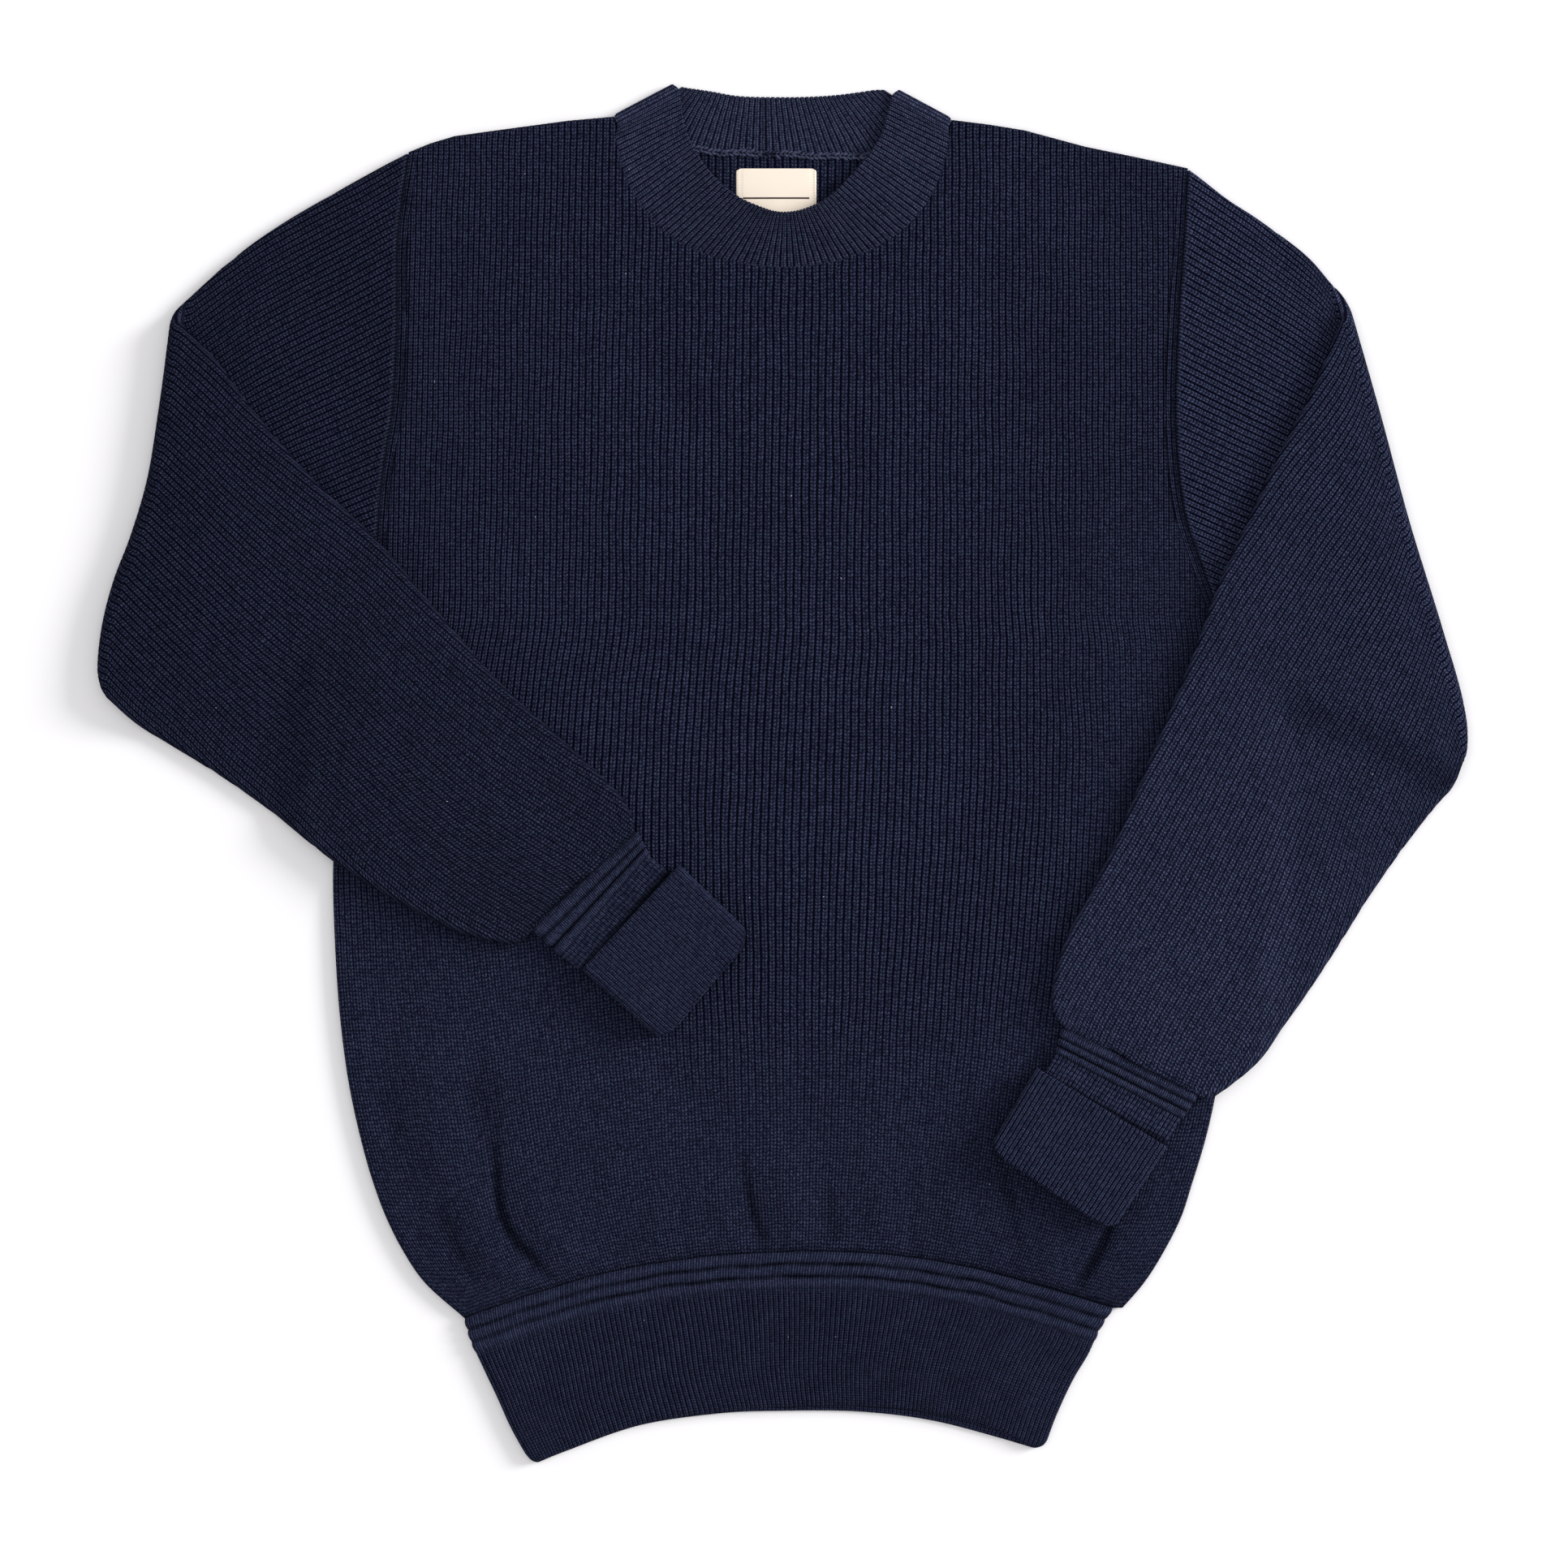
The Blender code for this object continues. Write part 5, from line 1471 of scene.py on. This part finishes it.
    # the closed loop's last ring meets its first at the sleeve's seam
    shell = Shell()
    spread = np.broadcast_to(np.array(painted_shade_and_join)[:, None], outer.shape[:2]), np.broadcast_to(np.array(welt)[:, None], outer.shape[:2])
    index = shell.add(outer, apart * (1.0 - spread[1]), spread[1], spread[0])
    index = np.concatenate([index, index[:, :1]], axis=1)
    index = np.concatenate([index, index[:1]], axis=0)
    ribs = np.concatenate([count, [2.0 * CUFF_RIBS]])
    courses = np.array(run + [run[-1] - 3])[:, None] / FINE_COURSE
    row = mid
    p = outer[row]
    n = np.cross(np.roll(p, -1, axis=0) - p, outer[row + 1] - p)
    flip = float(n[len(count) // 4, 2]) < 0
    shell.quads(index, ribs, np.broadcast_to(courses, index.shape), flip)
    return shell.build(name, surface, name)


# ---------------------------------------------------------------- collar and label


def add_collar():
    half = RIB_WALL / 2
    radius = 1.9
    flat_reach = 4.2  # how far the turn of the fold reaches in plan
    low, turn_z = half, half + radius
    top_z = turn_z + radius
    front, back = np.array(COLLAR_FRONT, float), np.array(COLLAR_BACK, float)
    stations = []  # seam, edge, seam z, edge z, normal, count of ribs

    def arc_of(table):
        mid_seam, mid_edge = xy(table[:, 0], table[:, 1]), xy(table[:, 2], table[:, 3])
        steps = (np.linalg.norm(np.diff(mid_seam, axis=0), axis=1) * 0.6 + np.linalg.norm(np.diff(mid_edge, axis=0), axis=1) * 0.4)
        return np.concatenate([[0], np.cumsum(steps)]) / steps.sum()

    def side_turn(row, other, up, first_rib):
        seam, edge = xy(row[0], row[1]), xy(row[2], row[3])
        way = (edge - seam) / np.linalg.norm(edge - seam)
        out = np.array([way[1], -way[0]])
        if out @ (xy(other[2], other[3]) - seam) > 0:
            out = -out
        for k, turn in enumerate(np.linspace(-90, 90, 13)):
            turn = turn if up else -turn
            angle = math.radians(turn)
            off = out * (flat_reach * math.cos(angle) - flat_reach)
            z = turn_z + radius * math.sin(angle)
            normal = np.array([out[0] * math.cos(angle) / flat_reach, out[1] * math.cos(angle) / flat_reach, math.sin(angle) / radius])
            normal = normal / np.linalg.norm(normal)
            lead = float(np.interp(turn, (-90, -45, 0, 45), (3.4, 3.2, 1.6, 0.0)))
            short = 1.3 * math.cos(angle) ** 2
            stations.append((seam + off + way * lead, edge + off - way * short, z, z, normal, first_rib + k / 12 * 3))

    front_ribs, back_ribs = 80, 48
    side_turn(front[0], front[7], True, 0)
    known = arc_of(front)
    counts = rib_columns(front_ribs, FINE_PHASES)[1:-1]
    t = counts / front_ribs
    seams, edges = through(known, xy(front[:, 0], front[:, 1]), t), through(known, xy(front[:, 2], front[:, 3]), t)
    # the plain stations start from where the turn ends
    ease = smooth(np.minimum(t, 1 - t) / 0.05)
    slow = smooth(np.minimum(t, 1 - t) / 0.2)
    for k in range(len(t)):
        share = smooth(min(t[k], 1 - t[k]) * 14 / 6)
        loft_here = WALL + GAP + float(body_loft(seams[k, 0], seams[k, 1])) + WALL / 2
        seam_z = max(loft_here, top_z) * ease[k] + top_z * (1 - ease[k])
        way = (edges[k] - seams[k]) / np.linalg.norm(edges[k] - seams[k])
        sidewise = np.array([way[1], -way[0]])
        if sidewise @ (xy(965, 258) - seams[k]) < 0:
            sidewise = -sidewise
        stations.append(
            (
                seams[k] + sidewise * (1 - ease[k]) * flat_reach,
                edges[k] + sidewise * (1 - slow[k]) * flat_reach,
                seam_z,
                seam_z + COLLAR_STAND * share,
                np.array([0.0, 0.0, 1.0]),
                3 + counts[k],
            )
        )
    side_turn(front[-1], front[7], False, 3 + front_ribs)
    known = arc_of(back)
    counts = rib_columns(back_ribs, FINE_PHASES)[1:-1]
    t = counts / back_ribs
    seams, edges = through(known, xy(back[:, 0], back[:, 1]), t), through(known, xy(back[:, 2], back[:, 3]), t)
    ease = smooth(np.minimum(t, 1 - t) / 0.05)
    for k in range(len(t)):
        way = (edges[k] - seams[k]) / np.linalg.norm(edges[k] - seams[k])
        sidewise = np.array([way[1], -way[0]])
        if sidewise @ (xy(965, 120) - edges[k]) < 0:
            sidewise = -sidewise
        inward = (1 - ease[k]) * flat_reach
        stations.append(
            (
                seams[k] + sidewise * inward + way * 3.0 * (1 - ease[k]),
                edges[k] + sidewise * inward,
                low,
                low,
                np.array([0.0, 0.0, -1.0]),
                6 + front_ribs + counts[k],
            )
        )
    total = 6 + front_ribs + back_ribs
    # the section from the seam to the free edge and back: share along, side, outward reach of the rounding
    face = np.concatenate([np.linspace(0.0, 0.05, 3)[:-1], np.linspace(0.05, 0.93, 13)])
    cap = np.radians(np.linspace(80, -80, 7))
    grid, ribs, relief, courses = [], [], [], []
    for seam, edge, seam_z, edge_z, normal, rib in stations:
        way = edge - seam
        length = float(np.linalg.norm(way))
        way = way / length
        seam = seam - way * 0.7
        length = float(np.linalg.norm(edge - seam))
        loop = []

        def at(distance, off):
            share = distance / length
            z = seam_z + share * (edge_z - seam_z)
            return [seam[0] + way[0] * distance + normal[0] * off, seam[1] + way[1] * distance + normal[1] * off, z + normal[2] * off]

        reach = length - half
        for f in face:
            # the sewn edge goes down into the seam
            loop.append(at(f / 0.93 * reach, half * (0.6 + 0.4 * edge_share(f * length, 2.6))))
        for c in cap:
            loop.append(at(reach + half * math.cos(c), half * math.sin(c)))
        for f in face[::-2]:
            loop.append(at(f / 0.93 * reach, -half))
        grid.append(loop)
        ribs.append(rib)
    base = np.array(grid)
    ribs = np.array(ribs)
    n_face, n_cap, n_back = len(face), len(cap), len(face[::-2])
    normal = normals_of(base, wrap_columns=True, wrap_rows=True)
    if normal[len(base) // 3, 4, 2] < 0:
        normal = -normal
    weight = np.concatenate([np.ones(n_face), np.full(n_cap, 0.6), np.full(n_back, 0.5)])
    weight[:2] = 0.5
    # the ribs lie flat where the ring turns
    turned = np.minimum.reduce([np.abs(ribs - c) for c in (1.5, 4.5 + front_ribs, 6.0 + front_ribs + back_ribs)])
    weight = weight[None, :] * (0.3 + 0.7 * smooth((turned - 1.0) / 3.0))[:, None]
    depth = FINE_DEPTH * 1.2 * rib_profile(ribs, 0.0)[:, None] * weight
    outer = base + normal * depth[..., None]
    outer[..., 2] = np.maximum(outer[..., 2], 0.02)
    shell = Shell()
    in_front = (ribs > 2) & (ribs < 4 + front_ribs)
    round_it = np.clip((ribs - 3) / front_ribs, 0, 1)
    # the light lies full on the sides of the ring, and a join runs down the middle of its back
    paler = np.where(in_front, 0.4 * np.abs(2 * round_it - 1) ** 1.5, 0.25)
    join = 0.5 * np.exp(-(((ribs - (6 + front_ribs + 0.565 * back_ribs)) / 0.35) ** 2))
    index = shell.add(outer, (0.3 + 0.6 * smooth((turned - 1.0) / 3.0))[:, None], 0.0, (join - paler)[:, None])
    index = np.concatenate([index, index[:, :1]], axis=1)
    index = np.concatenate([index, index[:1]], axis=0)
    steps = np.concatenate([np.zeros((len(base), 1)), np.cumsum(np.linalg.norm(np.diff(base, axis=1), axis=2), axis=1)], axis=1)
    steps = np.concatenate([steps, steps[:, -1:] + 2.0], axis=1)
    steps = np.concatenate([steps, steps[:1]], axis=0)
    counted = np.concatenate([ribs, [float(total)]])[:, None]
    p = outer[len(base) // 3]
    q = outer[len(base) // 3 + 1]
    n = np.cross(p[5] - p[4], q[4] - p[4])
    shell.quads(index, np.broadcast_to(counted, index.shape), steps / FINE_COURSE, float(n[2]) < 0)
    add_chain(shell)
    return shell.build("collar", COLLAR_RIBBING, "collar")


def add_chain(shell):
    """The linked stitches that join the collar to the back neck: two rows of slanted loops."""
    seam = np.array(COLLAR_BACK, float)[::-1]
    xs = mx(np.linspace(838, 1078, 47))
    ys = np.interp(xs, mx(seam[:, 0]), my(seam[:, 1]))
    turn, rise = np.linspace(0, 2 * math.pi, 9)[:-1], np.linspace(-math.pi / 2, math.pi / 2, 5)
    for k in range(len(xs) - 1):
        for row, lean in ((0.0, 0.6), (2.0, -0.6)):
            long, wide, high = 1.85 + 0.3 * math.sin(k * 1.9 + row), 0.8 + 0.15 * math.sin(k * 3.1), 0.7
            lean = lean * (0.8 + 0.4 * math.sin(k * 2.7 + row))
            a = turn[None, :]
            b = rise[:, None]
            px, py, pz = long * np.cos(a) * np.cos(b), wide * np.sin(a) * np.cos(b), high * np.sin(b) * np.ones_like(a)
            qx, qy = px * math.cos(lean) - py * math.sin(lean), px * math.sin(lean) + py * math.cos(lean)
            jitter = 0.3 * math.sin(k * 2.3 + row) + 0.4 * math.sin(k * 0.55)
            grid = np.stack([xs[k] + qx, ys[k] - 0.6 - row + jitter + qy, 3.75 + pz], axis=-1)
            index = shell.add(grid, 0.0, 0.0, -0.15 + 0.3 * abs(math.sin(k * 1.7 + row)))
            index = np.concatenate([index, index[:, :1]], axis=1)
            shell.quads(index, 0.275, 0.68, flip=False)


def add_label():
    left, top, right, bottom = LABEL
    (x0, y1), (x1, y0) = xy(left, top), xy(right, bottom)
    wide, tall, corner = x1 - x0, y1 - y0, 2.2
    u, v = np.linspace(0, 1, 41), np.linspace(0, 1, 29)
    uu, vv = np.meshgrid(u, v)
    x, y = uu * wide, vv * tall
    # the two upper corners are rounded
    near = np.clip(corner - y, 0, corner)
    pull = corner - np.sqrt(np.maximum(corner**2 - near**2, 0))
    x = np.where(uu < 0.5, np.maximum(x, pull * (1 - uu * 2)), np.minimum(x, wide - pull * (uu * 2 - 1)))
    x = x + (0.5 - uu) * 2 * pull * (1 - np.abs(uu - 0.5) * 2) * 0
    swell = 0.25 * np.sin(math.pi * uu) + 0.12 * wobble(x, y, 25, 61)
    low = 3.25 + 0.0 * swell
    high = 3.72 + np.clip(swell, -0.1, 0.5)
    high = high - 0.25 * np.exp(-((np.minimum(uu, 1 - uu) * wide - 2.2) ** 2) / 0.5)
    place = lambda z: np.stack([x0 + x, y1 - y, np.broadcast_to(z, x.shape)], axis=-1)
    shell = Shell()
    up, down = shell.add(place(high)), shell.add(place(low))
    shell.quads(up, x, y, flip=True)
    shell.quads(down, x, y, flip=False)
    border_up = np.concatenate([up[0, :-1], up[:-1, -1], up[-1, :0:-1], up[:, 0][::-1]])
    border_down = np.concatenate([down[0, :-1], down[:-1, -1], down[-1, :0:-1], down[:, 0][::-1]])
    shell.quads(np.stack([border_up, border_down]), 0.0, 0.0, flip=False)
    return shell.build("label", LABEL_CLOTH, "label")


# ---------------------------------------------------------------- all of it


front = add_front()
back = add_back()
hem_front = add_hem("hem_front", False)
hem_back = add_hem("hem_back", True)
sleeve_right = add_sleeve("sleeve_right", LEFT, SLEEVE_R_KNIT, LEFT_SLEEVE_FOLDS)
sleeve_left = add_sleeve("sleeve_left", RIGHT, SLEEVE_L_KNIT, RIGHT_SLEEVE_FOLDS)
cuff_right = add_cuff("cuff_right", CUFF_R_RIBBING, LEFT_CUFF, LEFT_TURNED, 0.5)
cuff_left = add_cuff("cuff_left", CUFF_L_RIBBING, RIGHT_CUFF, RIGHT_TURNED, 1.0)
collar = add_collar()
label = add_label()

# ---------------------------------------------------------------- floor, light and camera

floor_mesh = bpy.data.meshes.new("floor")
floor_mesh.from_pydata([(-6, -6, -0.0003), (6, -6, -0.0003), (6, 6, -0.0003), (-6, 6, -0.0003)], [], [(0, 1, 2, 3)])
floor_surface = bpy.data.materials.new("floor_white")
floor_surface.use_nodes = True
floor_shader = floor_surface.node_tree.nodes["Principled BSDF"]
floor_shader.inputs["Base Color"].default_value = (0.93, 0.92, 0.935, 1.0)
floor_shader.inputs["Roughness"].default_value = 0.9
floor_shader.inputs["Specular IOR Level"].default_value = 0.0
floor_mesh.materials.append(floor_surface)
floor = bpy.data.objects.new("floor", floor_mesh)
bpy.context.scene.collection.objects.link(floor)

world = bpy.data.worlds.new("studio")
bpy.context.scene.world = world
world.use_nodes = True
world.node_tree.nodes["Background"].inputs[0].default_value = (1.0, 0.995, 1.0, 1.0)
world.node_tree.nodes["Background"].inputs[1].default_value = 0.6


def area_light(name, place, target, size, power, colour=(1.0, 1.0, 1.0)):
    lamp = bpy.data.lights.new(name, "AREA")
    lamp.shape, lamp.size, lamp.energy, lamp.color = "DISK", size, power, colour
    made = bpy.data.objects.new(name, lamp)
    made.location = place
    made.rotation_euler = (Vector(target) - Vector(place)).to_track_quat("-Z", "Y").to_euler()
    bpy.context.scene.collection.objects.link(made)
    return made


area_light("key", (8.0, 2.7, 3.45), (0, 0, 0), 4.0, 820)
area_light("fill", (-0.2, 0.1, 3.4), (0, 0, 0), 2.6, 28)

camera_data = bpy.data.cameras.new("camera")
camera_data.lens = 100
camera_data.sensor_width = 36
camera_data.sensor_fit = "HORIZONTAL"
VIEW = 1932 * CHART * MM
camera = bpy.data.objects.new("camera", camera_data)
camera.location = (float(mx(966)) * MM, float(my(966)) * MM, VIEW * 100 / 36 + 0.006)
camera.rotation_euler = (0, 0, 0)
bpy.context.scene.collection.objects.link(camera)
bpy.context.scene.camera = camera
bpy.context.scene.view_settings.view_transform = "Standard"
bpy.context.scene.view_settings.look = "None"
